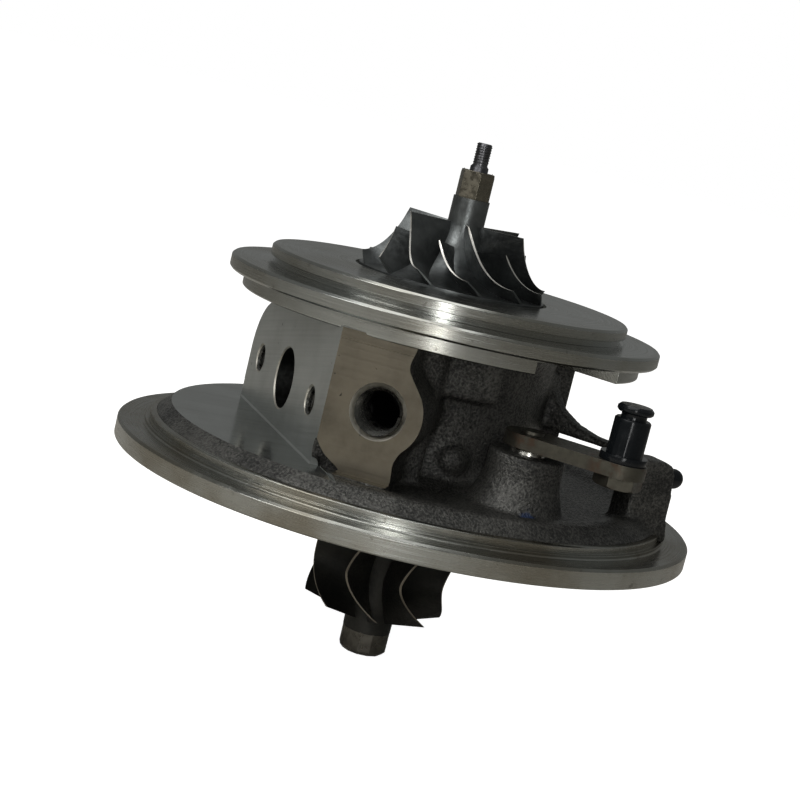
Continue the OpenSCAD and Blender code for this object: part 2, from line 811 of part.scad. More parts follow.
module rotor_shaft() {
  groove_r = tseal_r - shaft_groove_d;
  color([0.45, 0.45, 0.47]) rotate_extrude() polygon([
    [0, hub_z],
    [tseal_r - free_gap, hub_z],
    [tseal_r - free_gap, ring_z - free_gap],
    [groove_r, ring_z - free_gap],
    [groove_r, ring_z + ring_t + free_gap],
    [tseal_r - free_gap, ring_z + ring_t + free_gap],
    [tseal_r - free_gap, shoulder_z],
    [journal_r, shoulder_z + shaft_lead],
    [journal_r, collar_z],
    [stub_r, collar_z],
    [stub_r, nut_z1 + stub_stand],
    [tip_r, nut_z1 + stub_stand + stub_lead],
    [tip_r, shaft_z1 - tip_lead],
    [tip_r - tip_lead, shaft_z1],
    [0, shaft_z1]
  ]);
}

// Radius of the turbine wheel's hub and of its blade tips at a height
function tw_hub(z) = tw_nose_r + (tw_hub_r - tw_nose_r) * exp((z - tw_front_z) / tw_hub_fall);
function tw_tip(z) = tw_exducer_r + (tw_r - tw_exducer_r) * min(1, exp((z - tw_tip_z) / tw_tip_fall));
// Turn of the turbine blade at a height
function tw_turn(z) = tw_bend_a + (z < tw_bend_z
  ? tw_back_a * pow((tw_bend_z - z) / tw_back_l, tw_back_power)
  : tw_fore_a * pow((z - tw_bend_z) / tw_fore_l, tw_fore_power));

// Radius and height on the compressor wheel, root line and tip line, a = 0 at the inducer and 90 at the rim
function cw_root(a) = [
  cw_nose_r + (cw_r - cw_nose_r) * (1 - cos(a)),
  cw_rim_z + (cw_top_z - cw_rim_z) * (1 - sin(a))
];
function cw_tip(a) = [
  cw_inducer_r + (cw_r - cw_inducer_r) * (1 - cos(a)),
  cw_rim_z + cw_exit_b + (cw_top_z - cw_rim_z - cw_exit_b) * (1 - sin(a))
];

// A point at radius r, height z, turned by a and set off sideways by half the blade's thickness
function blade_pt(r, z, a, off) = [r * cos(a) - off * sin(a), r * sin(a) + off * cos(a), z];

// A closed blade from its root and tip points on both sides, four points to a station
module blade(pts) {
  n = len(pts) / 4;
  faces = concat(
    [[0, 1, 2], [0, 2, 3]],
    [for (i = [0:n - 2], k = [0:3]) [4 * i + k, 4 * i + 4 + k, 4 * i + 4 + (k + 1) % 4]],
    [for (i = [0:n - 2], k = [0:3]) [4 * i + k, 4 * i + 4 + (k + 1) % 4, 4 * i + (k + 1) % 4]],
    [[4 * n - 4, 4 * n - 2, 4 * n - 3], [4 * n - 4, 4 * n - 1, 4 * n - 2]]
  );
  polyhedron(points = pts, faces = faces, convexity = 4);
}

function tw_points() = [
  for (i = [0:blade_n], k = [0:3])
  let (
    t = i / blade_n,
    zt = tw_front_z + (-tw_l - tw_front_z) * t,
    zr = tw_front_z + (-tw_l - tw_root_l - tw_front_z) * t,
    a = tw_turn(zt),
    root = k == 0 || k == 3,
    side = k < 2 ? 1 : -1
  )
  root
    ? blade_pt(max(tw_hub(zr) - tw_root_in, tw_root_min), zr, a, side * tw_blade_t0 / 2)
    : blade_pt(tw_tip(zt), zt, a, side * tw_blade_t1 / 2)
];

function cw_points(a0, turn) = [
  for (i = [0:blade_n], k = [0:3])
  let (
    a = a0 + (90 - a0) * i / blade_n,
    root = k == 0 || k == 3,
    side = k < 2 ? 1 : -1,
    p = root ? cw_root(a) : cw_tip(a),
    ang = turn - (root ? 0 : cw_rake) * (a / 90) - cw_wrap * (1 - a / 90) - cw_rake * (1 - a / 90)
  )
  root
    ? blade_pt(p[0] - cw_root_in, p[1] - (i == blade_n ? cw_rim_d : cw_root_d), ang, side * cw_blade_t0 / 2)
    : blade_pt(p[0], p[1], ang, side * cw_blade_t1 / 2)
];

module turbine_wheel() {
  color([0.12, 0.12, 0.11]) union() {
    rotate_extrude() polygon(concat(
      [[0, hub_z], [tseal_r - tw_stub_in, hub_z]],
      [[tseal_r - tw_stub_in, tw_back_z + tw_back_rise], [tw_hub_r, tw_back_z]],
      [for (i = [0:curve_n]) let (z = tw_front_z - tw_taper * i / curve_n) [tw_hub(z), z]],
      [[tw_nose_r, tw_cap_l - tw_nose_l], [0, tw_cap_l - tw_nose_l]]
    ));
    translate([0, 0, tw_cap_lead - tw_nose_l]) cylinder(r = tw_nose_r, h = tw_cap_h, $fn = tw_cap_fn);
    translate([0, 0, -tw_nose_l])
      cylinder(r1 = tw_nose_r - tw_cap_lead, r2 = tw_nose_r, h = tw_cap_lead + eps, $fn = tw_cap_fn);
    for (i = [0:tw_blades - 1]) rotate([0, 0, i * 360 / tw_blades]) blade(tw_points());
  }
}

module compressor_wheel() {
  color([0.4, 0.41, 0.42]) difference() {
    union() {
      rotate_extrude() polygon(concat(
        [[0, cw_back_z], [cw_r, cw_back_z]],
        [for (i = [0:curve_n]) cw_root(90 - 90 * i / curve_n)],
        [[cw_nose_r, cw_nose_z], [0, cw_nose_z]]
      ));
      for (i = [0:cw_blades - 1]) rotate([0, 0, i * 360 / cw_blades]) {
        blade(cw_points(0, 0));
        blade(cw_points(cw_split, 180 / cw_blades));
      }
    }
    translate([0, 0, cw_back_z - cut])
      cylinder(r = stub_r, h = cw_nose_z - cw_back_z + 2 * cut, $fn = round_fn);
  }
}

module compressor_nut() {
  color([0.55, 0.52, 0.44]) difference() {
    intersection() {
      translate([0, 0, cw_nose_z]) rotate([0, 0, cw_nut_turn])
        cylinder(r = cw_nut_af / sqrt(3), h = cw_nut_h, $fn = hex_fn);
      translate([0, 0, cw_nose_z])
        cylinder(r1 = cw_nut_af / sqrt(3) + cw_nut_round, r2 = cw_nut_af / 2 + cw_nut_top, h = cw_nut_h);
    }
    translate([0, 0, cw_nose_z - cut]) cylinder(r = stub_r, h = cw_nut_h + 2 * cut, $fn = round_fn);
  }
}

module spindle_bush() {
  color([0.75, 0.73, 0.68]) translate([spindle_x, spindle_y, 0])
    tube(bush_r, spindle_r + run_gap, recess_d, boss_z + bush_stand);
}

module lever_spindle() {
  color([0.42, 0.38, 0.33]) translate([spindle_x, spindle_y, 0]) rotate_extrude($fn = round_fn) polygon([
    [0, crank_z - spindle_foot],
    [spindle_r, crank_z - spindle_foot],
    [spindle_r, spindle_ring_z - free_gap],
    [spindle_r - spindle_groove_d, spindle_ring_z - free_gap],
    [spindle_r - spindle_groove_d, spindle_ring_z + spindle_ring_t + free_gap],
    [spindle_r, spindle_ring_z + spindle_ring_t + free_gap],
    [spindle_r, pin_z + spindle_top],
    [0, pin_z + spindle_top]
  ]);
}

module spindle_seal_ring() {
  color([0.5, 0.5, 0.52]) translate([spindle_x, spindle_y, 0]) rotate([0, 0, spindle_ring_turn]) difference() {
    tube(spindle_r + run_gap, spindle_r - spindle_ring_w, spindle_ring_z, spindle_ring_z + spindle_ring_t);
    translate([0, -spindle_ring_slit / 2, spindle_ring_z - cut])
      cube([spindle_r + cut, spindle_ring_slit, spindle_ring_t + 2 * cut]);
  }
}

module crank_arm() {
  color([0.4, 0.36, 0.32]) translate([spindle_x, spindle_y, crank_z]) rotate([0, 0, spindle_a]) difference() {
    union() {
      cylinder(r = crank_w_r, h = crank_t);
      translate([crank_l, 0, 0]) cylinder(r = crank_end_r, h = crank_t);
      translate([0, crank_waist - crank_end_r, 0]) cube([crank_l, 2 * (crank_end_r - crank_waist), crank_t]);
    }
    translate([0, 0, -cut]) cylinder(r = spindle_r, h = crank_t + 2 * cut, $fn = round_fn);
    translate([crank_l, 0, -cut]) cylinder(r = crank_pin_r, h = crank_t + 2 * cut, $fn = round_fn);
  }
}

module crank_pin() {
  color([0.5, 0.48, 0.45]) translate([spindle_x, spindle_y, 0]) rotate([0, 0, spindle_a])
    translate([crank_l, 0, crank_z - crank_pin_l])
      cylinder(r = crank_pin_r, h = crank_pin_l + crank_t, $fn = round_fn);
}

module actuator_lever() {
  color([0.42, 0.36, 0.26]) translate([spindle_x, spindle_y, lever_z]) rotate([0, 0, lever_angle]) difference() {
    union() {
      cylinder(r = lever_r0, h = lever_t);
      translate([lever_l, 0, 0]) cylinder(r = lever_r1, h = lever_t);
      translate([0, -lever_w / 2, 0]) cube([lever_l, lever_w, lever_t]);
    }
    translate([0, 0, -cut]) cylinder(r = spindle_r, h = lever_t + 2 * cut, $fn = round_fn);
    translate([lever_l, 0, -cut]) cylinder(r = pin_shank_r, h = lever_t + 2 * cut, $fn = round_fn);
  }
}

// Sets its children on the lever pin's axis with z = 0 on top of the lever
module at_pin() {
  translate([spindle_x, spindle_y, pin_z]) rotate([0, 0, lever_angle]) translate([lever_l, 0, 0]) children();
}

module lever_pin() {
  groove_z = pin_foot_h + pin_l;
  head_z = groove_z + pin_groove_w;
  color([0.06, 0.06, 0.07]) at_pin() rotate_extrude() polygon([
    [0, -lever_t - pin_nut_h - pin_end],
    [pin_shank_r - pin_lead, -lever_t - pin_nut_h - pin_end],
    [pin_shank_r, -lever_t - pin_nut_h - pin_end + pin_lead],
    [pin_shank_r, 0],
    [pin_foot_r, 0],
    [pin_foot_r, pin_foot_h],
    [pin_r, pin_foot_h],
    [pin_r, groove_z - pin_lead],
    [pin_r - pin_lead, groove_z],
    [pin_groove_r, groove_z],
    [pin_groove_r, head_z],
    [pin_r - pin_head_lead, head_z],
    [pin_r, head_z + pin_head_lead],
    [pin_r, head_z + pin_head_h - pin_top_lead],
    [pin_r - pin_top_lead, head_z + pin_head_h],
    [0, head_z + pin_head_h]
  ]);
}

module lever_pin_nut() {
  color([0.4, 0.37, 0.3]) at_pin() translate([0, 0, -lever_t - pin_nut_h]) difference() {
    intersection() {
      rotate([0, 0, pin_nut_turn]) cylinder(r = pin_nut_af / sqrt(3), h = pin_nut_h, $fn = hex_fn);
      cylinder(r1 = pin_nut_af / 2 + pin_nut_edge, r2 = pin_nut_af / 2 + pin_nut_round, h = pin_nut_h);
    }
    translate([0, 0, -cut]) cylinder(r = pin_shank_r, h = pin_nut_h + 2 * cut, $fn = round_fn);
  }
}

// Sets its children on the stop screw's axis, +z outward, z = 0 at the tower's outer face
module at_stop() {
  translate([stop_x, stop_y, stop_z]) rotate([0, 90, stop_angle]) translate([0, 0, -stop_stand]) children();
}

module stop_screw() {
  color([0.07, 0.07, 0.07]) at_stop() {
    translate([0, 0, -stop_l]) cylinder(r = stop_r, h = stop_l + stop_stand, $fn = round_fn);
    translate([0, 0, stop_stand]) intersection() {
      sphere(r = stop_r, $fn = round_fn);
      translate([-stop_r, -stop_r, -eps]) cube([2 * stop_r, 2 * stop_r, stop_r + cut]);
    }
  }
}

module stop_screw_locknut() {
  color([0.3, 0.29, 0.27]) at_stop() translate([0, 0, -tower_l - stop_nut_h]) difference() {
    cylinder(r = stop_nut_af / sqrt(3), h = stop_nut_h, $fn = hex_fn);
    translate([0, 0, -cut]) cylinder(r = stop_r, h = stop_nut_h + 2 * cut, $fn = round_fn);
  }
}

bearing_housing();
seal_plate();
seal_plate_o_ring();
seal_plate_circlip();
thrust_bearing();
journal_bearing();
bearing_pin();
turbine_seal_ring();
compressor_seal_ring();
heat_shield();
spindle_bush();
spindle_seal_ring();
stop_screw();
stop_screw_locknut();
rotor_shaft();
turbine_wheel();
thrust_collar();
oil_flinger();
compressor_wheel();
compressor_nut();
lever_spindle();
crank_arm();
crank_pin();
actuator_lever();
lever_pin();
lever_pin_nut();
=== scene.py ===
"""Turbocharger cartridge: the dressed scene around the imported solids."""

import logging
import math
from dataclasses import dataclass
from enum import Enum, IntEnum
from typing import Any, Callable, Iterable, Sequence

import bmesh
import bpy
from mathutils import Matrix, Vector


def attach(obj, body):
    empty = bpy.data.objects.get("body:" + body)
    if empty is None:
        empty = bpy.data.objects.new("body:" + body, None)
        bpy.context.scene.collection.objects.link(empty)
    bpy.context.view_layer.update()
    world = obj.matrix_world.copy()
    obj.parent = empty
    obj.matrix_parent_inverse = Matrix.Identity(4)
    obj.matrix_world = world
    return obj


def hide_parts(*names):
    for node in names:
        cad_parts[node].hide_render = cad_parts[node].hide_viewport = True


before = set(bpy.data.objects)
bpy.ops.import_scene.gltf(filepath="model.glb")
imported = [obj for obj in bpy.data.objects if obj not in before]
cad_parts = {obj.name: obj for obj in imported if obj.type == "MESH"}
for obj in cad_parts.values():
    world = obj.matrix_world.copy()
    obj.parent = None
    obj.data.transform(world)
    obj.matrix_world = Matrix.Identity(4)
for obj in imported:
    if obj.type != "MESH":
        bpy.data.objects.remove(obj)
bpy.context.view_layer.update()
LOG = logging.getLogger("cartridge")
MM = 0.001
# Divisions of a blade from front to back and from root to tip, and two material numbers of the wheels
CHORDS, SPANS, BLADE_EDGE, GROUND_NOSE = 26, 8, 1, 2
Point2 = tuple[float, float]
Point3 = tuple[float, float, float]
Colour = Point3
Bend = Callable[[float, float, float], Vector]


class Body(Enum):
    """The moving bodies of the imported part."""

    HOUSING = "housing"
    ROTOR = "rotor"
    LEVER = "lever"


# Shader values and paints


class Shade:
    """A shader value that takes part in Python expressions."""

    def __init__(self, paint: "Paint", socket: bpy.types.NodeSocket) -> None:
        """Wraps a socket of a paint's node tree.

        Args:
            paint: the paint whose tree holds the socket.
            socket: the output that gives the value.
        """
        self.paint = paint
        self.socket = socket

    def _sum(self, operation: str, first: Any, second: Any) -> "Shade":
        """Adds one Math node.

        Args:
            operation: the Math node's operation.
            first: the first operand.
            second: the second operand.

        Returns:
            The result as a value.
        """
        made = self.paint.add("ShaderNodeMath", {"operation": operation}, {0: first, 1: second})
        return Shade(self.paint, made.outputs[0])

    def __add__(self, other: Any) -> "Shade":
        """Sum."""
        return self._sum("ADD", self, other)

    __radd__ = __add__

    def __sub__(self, other: Any) -> "Shade":
        """Difference."""
        return self._sum("SUBTRACT", self, other)

    def __rsub__(self, other: Any) -> "Shade":
        """Difference from a number."""
        return self._sum("SUBTRACT", other, self)

    def __mul__(self, other: Any) -> "Shade":
        """Product."""
        return self._sum("MULTIPLY", self, other)

    __rmul__ = __mul__

    def most(self, other: Any) -> "Shade":
        """The larger of two values."""
        return self._sum("MAXIMUM", self, other)

    def step(self, low: float, high: float, start: float = 0.0, end: float = 1.0) -> "Shade":
        """A smooth step of this value.

        Args:
            low: the value at which the step starts.
            high: the value at which it ends.
            start: the result at low.
            end: the result at high.

        Returns:
            The stepped value.
        """
        made = self.paint.add(
            "ShaderNodeMapRange",
            {"interpolation_type": "SMOOTHSTEP"},
            {"Value": self, "From Min": low, "From Max": high, "To Min": start, "To Max": end},
        )
        return Shade(self.paint, made.outputs["Result"])


class Wiring:
    """A node tree that nodes are added to."""

    def __init__(self, tree: bpy.types.NodeTree) -> None:
        """Clears the tree.

        Args:
            tree: the tree of a material or of the world.
        """
        self.tree = tree
        self.tree.nodes.clear()

    def add(
        self, kind: str, settings: dict[str, Any] | None = None, inputs: dict[Any, Any] | None = None,
    ) -> bpy.types.Node:
        """Adds one node.

        Args:
            kind: the node's type.
            settings: its settings, set first.
            inputs: values or links of its sockets, by name or number.

        Returns:
            The node.
        """
        node = self.tree.nodes.new(kind)
        for key, value in (settings or {}).items():
            setattr(node, key, value)
        for key, value in (inputs or {}).items():
            self.feed(node.inputs[key], value)
        return node

    def feed(self, socket: bpy.types.NodeSocket, value: Any) -> None:
        """Links or sets a socket.

        Args:
            socket: the input.
            value: a value, an output socket or a constant.
        """
        if isinstance(value, Shade):
            value = value.socket
        if isinstance(value, bpy.types.NodeSocket):
            self.tree.links.new(value, socket)
        elif socket.type == "RGBA":
            socket.default_value = (*value, 1.0)
        else:
            socket.default_value = value


class Paint(Wiring):
    """A material being mixed: one Principled shader and the nodes that feed it."""

    def __init__(self, name: str) -> None:
        """Starts an empty material.

        Args:
            name: the material's name.
        """
        self.material = bpy.data.materials.new(name)
        self.material.use_nodes = True
        super().__init__(self.material.node_tree)
        self.shader = self.add("ShaderNodeBsdfPrincipled")
        self.add("ShaderNodeOutputMaterial", inputs={"Surface": self.shader.outputs[0]})
        self.place = self.add("ShaderNodeTexCoord").outputs["Object"]

    def axes(self, at: Any = None) -> tuple[Shade, Shade, Shade]:
        """The three coordinates as values.

        Args:
            at: other coordinates than the piece's own.

        Returns:
            X, Y and Z.
        """
        split = self.add("ShaderNodeSeparateXYZ", inputs={0: self.place if at is None else at})
        return tuple(Shade(self, out) for out in split.outputs)

    def distance(self, spot: Sequence[float]) -> Shade:
        """Distance from a spot, or from an upright line where the spot has no height.

        Args:
            spot: the spot, in metres.

        Returns:
            The distance.
        """
        place = self.place
        if len(spot) == 2:
            place = self.add("ShaderNodeVectorMath", {"operation": "MULTIPLY"}, {0: place, 1: (1, 1, 0)}).outputs[0]
            spot = (*spot, 0.0)
        made = self.add("ShaderNodeVectorMath", {"operation": "DISTANCE"}, {0: place, 1: spot})
        return Shade(self, made.outputs["Value"])

    def grain(self, scale: float, detail: float = 3.0, rough: float = 0.55, at: Any = None) -> Shade:
        """Noise over the piece.

        Args:
            scale: grains in a metre.
            detail: layers of finer noise.
            rough: weight of the finer layers.
            at: another place to read the noise at.

        Returns:
            The noise, from 0 to 1.
        """
        where = self.place if at is None else at
        made = self.add(
            "ShaderNodeTexNoise", None, {"Vector": where, "Scale": scale, "Detail": detail, "Roughness": rough},
        )
        return Shade(self, made.outputs["Fac"])

    def lines(self, along: Shade, across: Shade, pitch: float) -> Shade:
        """Tool marks: noise that is long one way and fine the other.

        Args:
            along: the value that the marks follow slowly.
            across: the value that counts the marks.
            pitch: marks in a metre.

        Returns:
            The marks, from 0 to 1.
        """
        where = self.add("ShaderNodeCombineXYZ", inputs={0: across * pitch, 1: along * (pitch * 0.01), 2: 0.0})
        return self.grain(1.0, 4.0, 0.65, where.outputs[0])

    def blend(self, factor: Shade, first: Any, second: Any) -> bpy.types.NodeSocket:
        """Mixes two colours.

        Args:
            factor: 0 for the first and 1 for the second.
            first: a colour or a colour socket.
            second: a colour or a colour socket.

        Returns:
            The mixed colour.
        """
        made = self.add("ShaderNodeMix", {"data_type": "RGBA"}, {0: factor, 6: first, 7: second})
        return made.outputs[2]

    def bump(self, height: Shade, depth: float) -> bpy.types.NodeSocket:
        """A raised grain.

        Args:
            height: the relief, from 0 to 1.
            depth: the height of the relief in metres.

        Returns:
            The normal.
        """
        return self.add("ShaderNodeBump", None, {"Distance": depth, "Height": height}).outputs["Normal"]

    def wear(self, **sockets: Any) -> bpy.types.Material:
        """Sets the shader's sockets, whose names are written with underscores.

        Returns:
            The finished material.
        """
        for key, value in sockets.items():
            self.feed(self.shader.inputs[key.replace("_", " ")], value)
        return self.material


# Finishes


@dataclass(frozen=True)
class CastSkin:
    """Sand-cast iron, dark and grainy, its grains bright where light strikes."""

    name: str = "cast_skin"
    dark: Colour = (0.012, 0.012, 0.011)
    pale: Colour = (0.105, 0.103, 0.094)
    grains: float = 1600.0
    depth: float = 0.00036
    dab: Point3 | None = None
    ink: Colour = (0.012, 0.035, 0.11)

    def make(self) -> bpy.types.Material:
        """Mixes the finish."""
        paint = Paint(self.name)
        fine = paint.grain(self.grains, 3.0, 0.6)
        broad = paint.grain(70.0, 4.0, 0.6)
        tone = (fine * 0.85 + broad * 0.5 - 0.17).step(0.32, 0.74)
        colour = paint.blend(tone, self.dark, self.pale)
        if self.dab:
            reach = paint.distance(self.dab) + paint.grain(600.0) * 0.003
            colour = paint.blend(reach.step(0.0038, 0.0052, 0.7, 0.0), colour, self.ink)
        rough = fine.step(0.35, 0.7, 0.5, 0.28)
        relief = paint.bump(fine + broad * 0.4, self.depth)
        return paint.wear(Base_Color=colour, Metallic=0.55, Roughness=rough, Normal=relief)


@dataclass(frozen=True)
class TurnedSteel:
    """Lathe-cut metal, its fine rings about the rotor axis."""

    name: str = "turned_steel"
    base: Colour = (0.34, 0.345, 0.32)
    stain: Colour = (0.18, 0.155, 0.11)
    stained: float = 0.7
    rough: float = 0.22
    rings: float = 2600.0
    spot: Colour = (0.11, 0.10, 0.085)

    def make(self) -> bpy.types.Material:
        """Mixes the finish."""
        paint = Paint(self.name)
        out, (_, _, high) = paint.distance((0.0, 0.0)), paint.axes()
        marks = paint.lines(paint.grain(8.0, 1.0), out + high, self.rings)
        cloud = paint.grain(26.0, 4.0, 0.6)
        spots = paint.grain(420.0, 2.0).step(0.68, 0.76)
        colour = paint.blend(cloud.step(0.36, 0.62) * self.stained, self.base, self.stain)
        colour = paint.blend(spots * 0.5, colour, self.spot)
        rough = self.rough + marks.step(0.3, 0.7, -0.06, 0.09) + cloud.step(0.4, 0.7, 0.0, 0.08)
        return paint.wear(Base_Color=colour, Metallic=1.0, Roughness=rough, Normal=paint.bump(marks, 0.00002))


@dataclass(frozen=True)
class MilledPad:
    """A milled face with faint cutter paths and a few pores."""

    name: str
    base: Colour
    stain: Colour
    rough: float
    turn: float = 0.0
    pore: Colour = (0.03, 0.03, 0.028)

    def make(self) -> bpy.types.Material:
        """Mixes the finish."""
        paint = Paint(self.name)
        spin = (0, 0, math.radians(self.turn))
        turned = paint.add("ShaderNodeMapping", None, {"Vector": paint.place, "Rotation": spin})
        _, across, high = paint.axes(turned.outputs[0])
        paths = paint.lines(across, high + across * 0.2, 1500.0)
        cloud = paint.grain(60.0, 5.0, 0.6)
        pores = paint.grain(520.0, 1.0).step(0.76, 0.80)
        colour = paint.blend(cloud.step(0.35, 0.7), self.base, self.stain)
        colour = paint.blend(pores * 0.85, colour, self.pore)
        rough = self.rough + paths.step(0.3, 0.7, -0.05, 0.08)
        return paint.wear(Base_Color=colour, Metallic=0.9, Roughness=rough, Normal=paint.bump(paths - pores, 0.00003))


@dataclass(frozen=True)
class PlainMetal:
    """Metal with a soft cloud of tone and fine grain."""

    name: str
    base: Colour
    shade: Colour
    rough: float = 0.35
    metallic: float = 1.0
    grains: float = 900.0
    depth: float = 0.00003
    gloss: float = 0.5

    def make(self) -> bpy.types.Material:
        """Mixes the finish."""
        paint = Paint(self.name)
        fine, cloud = paint.grain(self.grains, 3.0), paint.grain(120.0, 4.0, 0.6)
        colour = paint.blend(cloud.step(0.35, 0.68), self.base, self.shade)
        rough = self.rough + fine.step(0.3, 0.7, -0.07, 0.09)
        return paint.wear(
            Base_Color=colour, Metallic=self.metallic, Roughness=rough, Specular_IOR_Level=self.gloss,
            Normal=paint.bump(fine, self.depth),
        )


@dataclass(frozen=True)
class HeatTint:
    """Lever steel, straw and rust coloured near its ends from the weld heat."""

    name: str = "heat_tinted_steel"
    base: Colour = (0.084, 0.079, 0.062)
    shade: Colour = (0.050, 0.047, 0.038)
    rust: Colour = (0.080, 0.042, 0.024)
    pivot: Point2 = (0.01535, -0.0423)
    tip: Point2 = (0.03344, -0.05911)

    def make(self) -> bpy.types.Material:
        """Mixes the finish."""
        paint = Paint(self.name)
        fine, cloud = paint.grain(1300.0, 3.0), paint.grain(190.0, 4.0, 0.65)
        bands = []
        for spot in (self.pivot, self.tip):
            ring = paint.distance(spot) + cloud * 0.002
            bands.append(ring.step(0.0062, 0.0082) * ring.step(0.0086, 0.0115, 1.0, 0.0))
        colour = paint.blend(cloud.step(0.3, 0.7), self.base, self.shade)
        colour = paint.blend(bands[0].most(bands[1]) * cloud.step(0.46, 0.62) * 0.6, colour, self.rust)
        rough = fine.step(0.3, 0.7, 0.34, 0.5)
        return paint.wear(Base_Color=colour, Metallic=0.85, Roughness=rough, Normal=paint.bump(fine, 0.00004))


class Finishes:
    """Every finish of the part, mixed once."""

    def __init__(self) -> None:
        """Mixes the finishes."""
        self.cast = CastSkin(dab=(0.0133, -0.0570, 0.0102)).make()
        self.turned = TurnedSteel().make()
        self.turned_top = TurnedSteel("turned_steel_top", (0.36, 0.37, 0.35), (0.22, 0.20, 0.155), 0.5, 0.18).make()
        self.drain_pad = MilledPad("drain_pad_milled", (0.36, 0.375, 0.36), (0.29, 0.30, 0.285), 0.36).make()
        self.flat = MilledPad("flat_milled", (0.33, 0.345, 0.33), (0.27, 0.28, 0.265), 0.16).make()
        self.port_pad = MilledPad("port_pad_milled", (0.165, 0.147, 0.113), (0.088, 0.079, 0.061), 0.32, 31.5).make()
        # Bores of the drilled holes: their near-black colour is painted shade, for the shade inside the holes.
        self.bore = PlainMetal("bore_painted_shade", (0.055, 0.057, 0.054), (0.03, 0.03, 0.028), 0.42).make()
        # Chamfers of the drilled holes: their pale colour is a painted highlight, in place of the light that they
        # reflect.
        self.lead = PlainMetal("chamfer_painted_highlight", (0.55, 0.53, 0.47), (0.36, 0.34, 0.29), 0.48).make()
        # Threads inside the holes: their dark colour is painted shade, for the shade in there.
        self.thread = PlainMetal("thread_painted_shade", (0.12, 0.12, 0.11), (0.06, 0.06, 0.055), 0.28).make()
        self.wheel = PlainMetal("compressor_wheel_skin", (0.125, 0.133, 0.131), (0.075, 0.08, 0.08), 0.36, 0.9).make()
        self.wheel_edge = PlainMetal("compressor_blade_edge", (0.80, 0.78, 0.73), (0.6, 0.58, 0.53), 0.46).make()
        self.turbine = PlainMetal(
            "turbine_alloy", (0.040, 0.039, 0.034), (0.024, 0.024, 0.022), 0.5, 0.75, 1500.0, 0.00006,
        ).make()
        self.turbine_edge = PlainMetal("turbine_blade_edge", (0.24, 0.215, 0.175), (0.15, 0.135, 0.11), 0.42).make()
        self.turbine_nose = PlainMetal(
            "turbine_nose", (0.17, 0.16, 0.135), (0.07, 0.066, 0.056), 0.32, 0.9, 700.0, 0.00005,
        ).make()
        self.nut = PlainMetal("nut_steel", (0.23, 0.21, 0.165), (0.15, 0.138, 0.11), 0.26, 1.0, 600.0).make()
        self.steel = PlainMetal("plain_steel", (0.30, 0.30, 0.28), (0.19, 0.19, 0.175), 0.32).make()
        self.bright = PlainMetal("bright_steel", (0.62, 0.61, 0.56), (0.45, 0.43, 0.38), 0.2).make()
        self.black = PlainMetal(
            "black_oxide", (0.004, 0.005, 0.006), (0.006, 0.007, 0.008), 0.17, 0.0, 250.0, 0.00001, 0.22,
        ).make()
        self.lever = HeatTint().make()
        self.bronze = PlainMetal("bearing_bronze", (0.50, 0.35, 0.14), (0.4, 0.27, 0.11), 0.3).make()
        self.spring = PlainMetal("spring_steel", (0.12, 0.12, 0.125), (0.07, 0.07, 0.075), 0.34).make()
        self.sheet = PlainMetal("shield_sheet", (0.24, 0.215, 0.18), (0.13, 0.115, 0.1), 0.36).make()
        self.rubber = PlainMetal("seal_rubber", (0.018, 0.018, 0.018), (0.028, 0.028, 0.028), 0.62, 0.0).make()


# Tools that make meshes


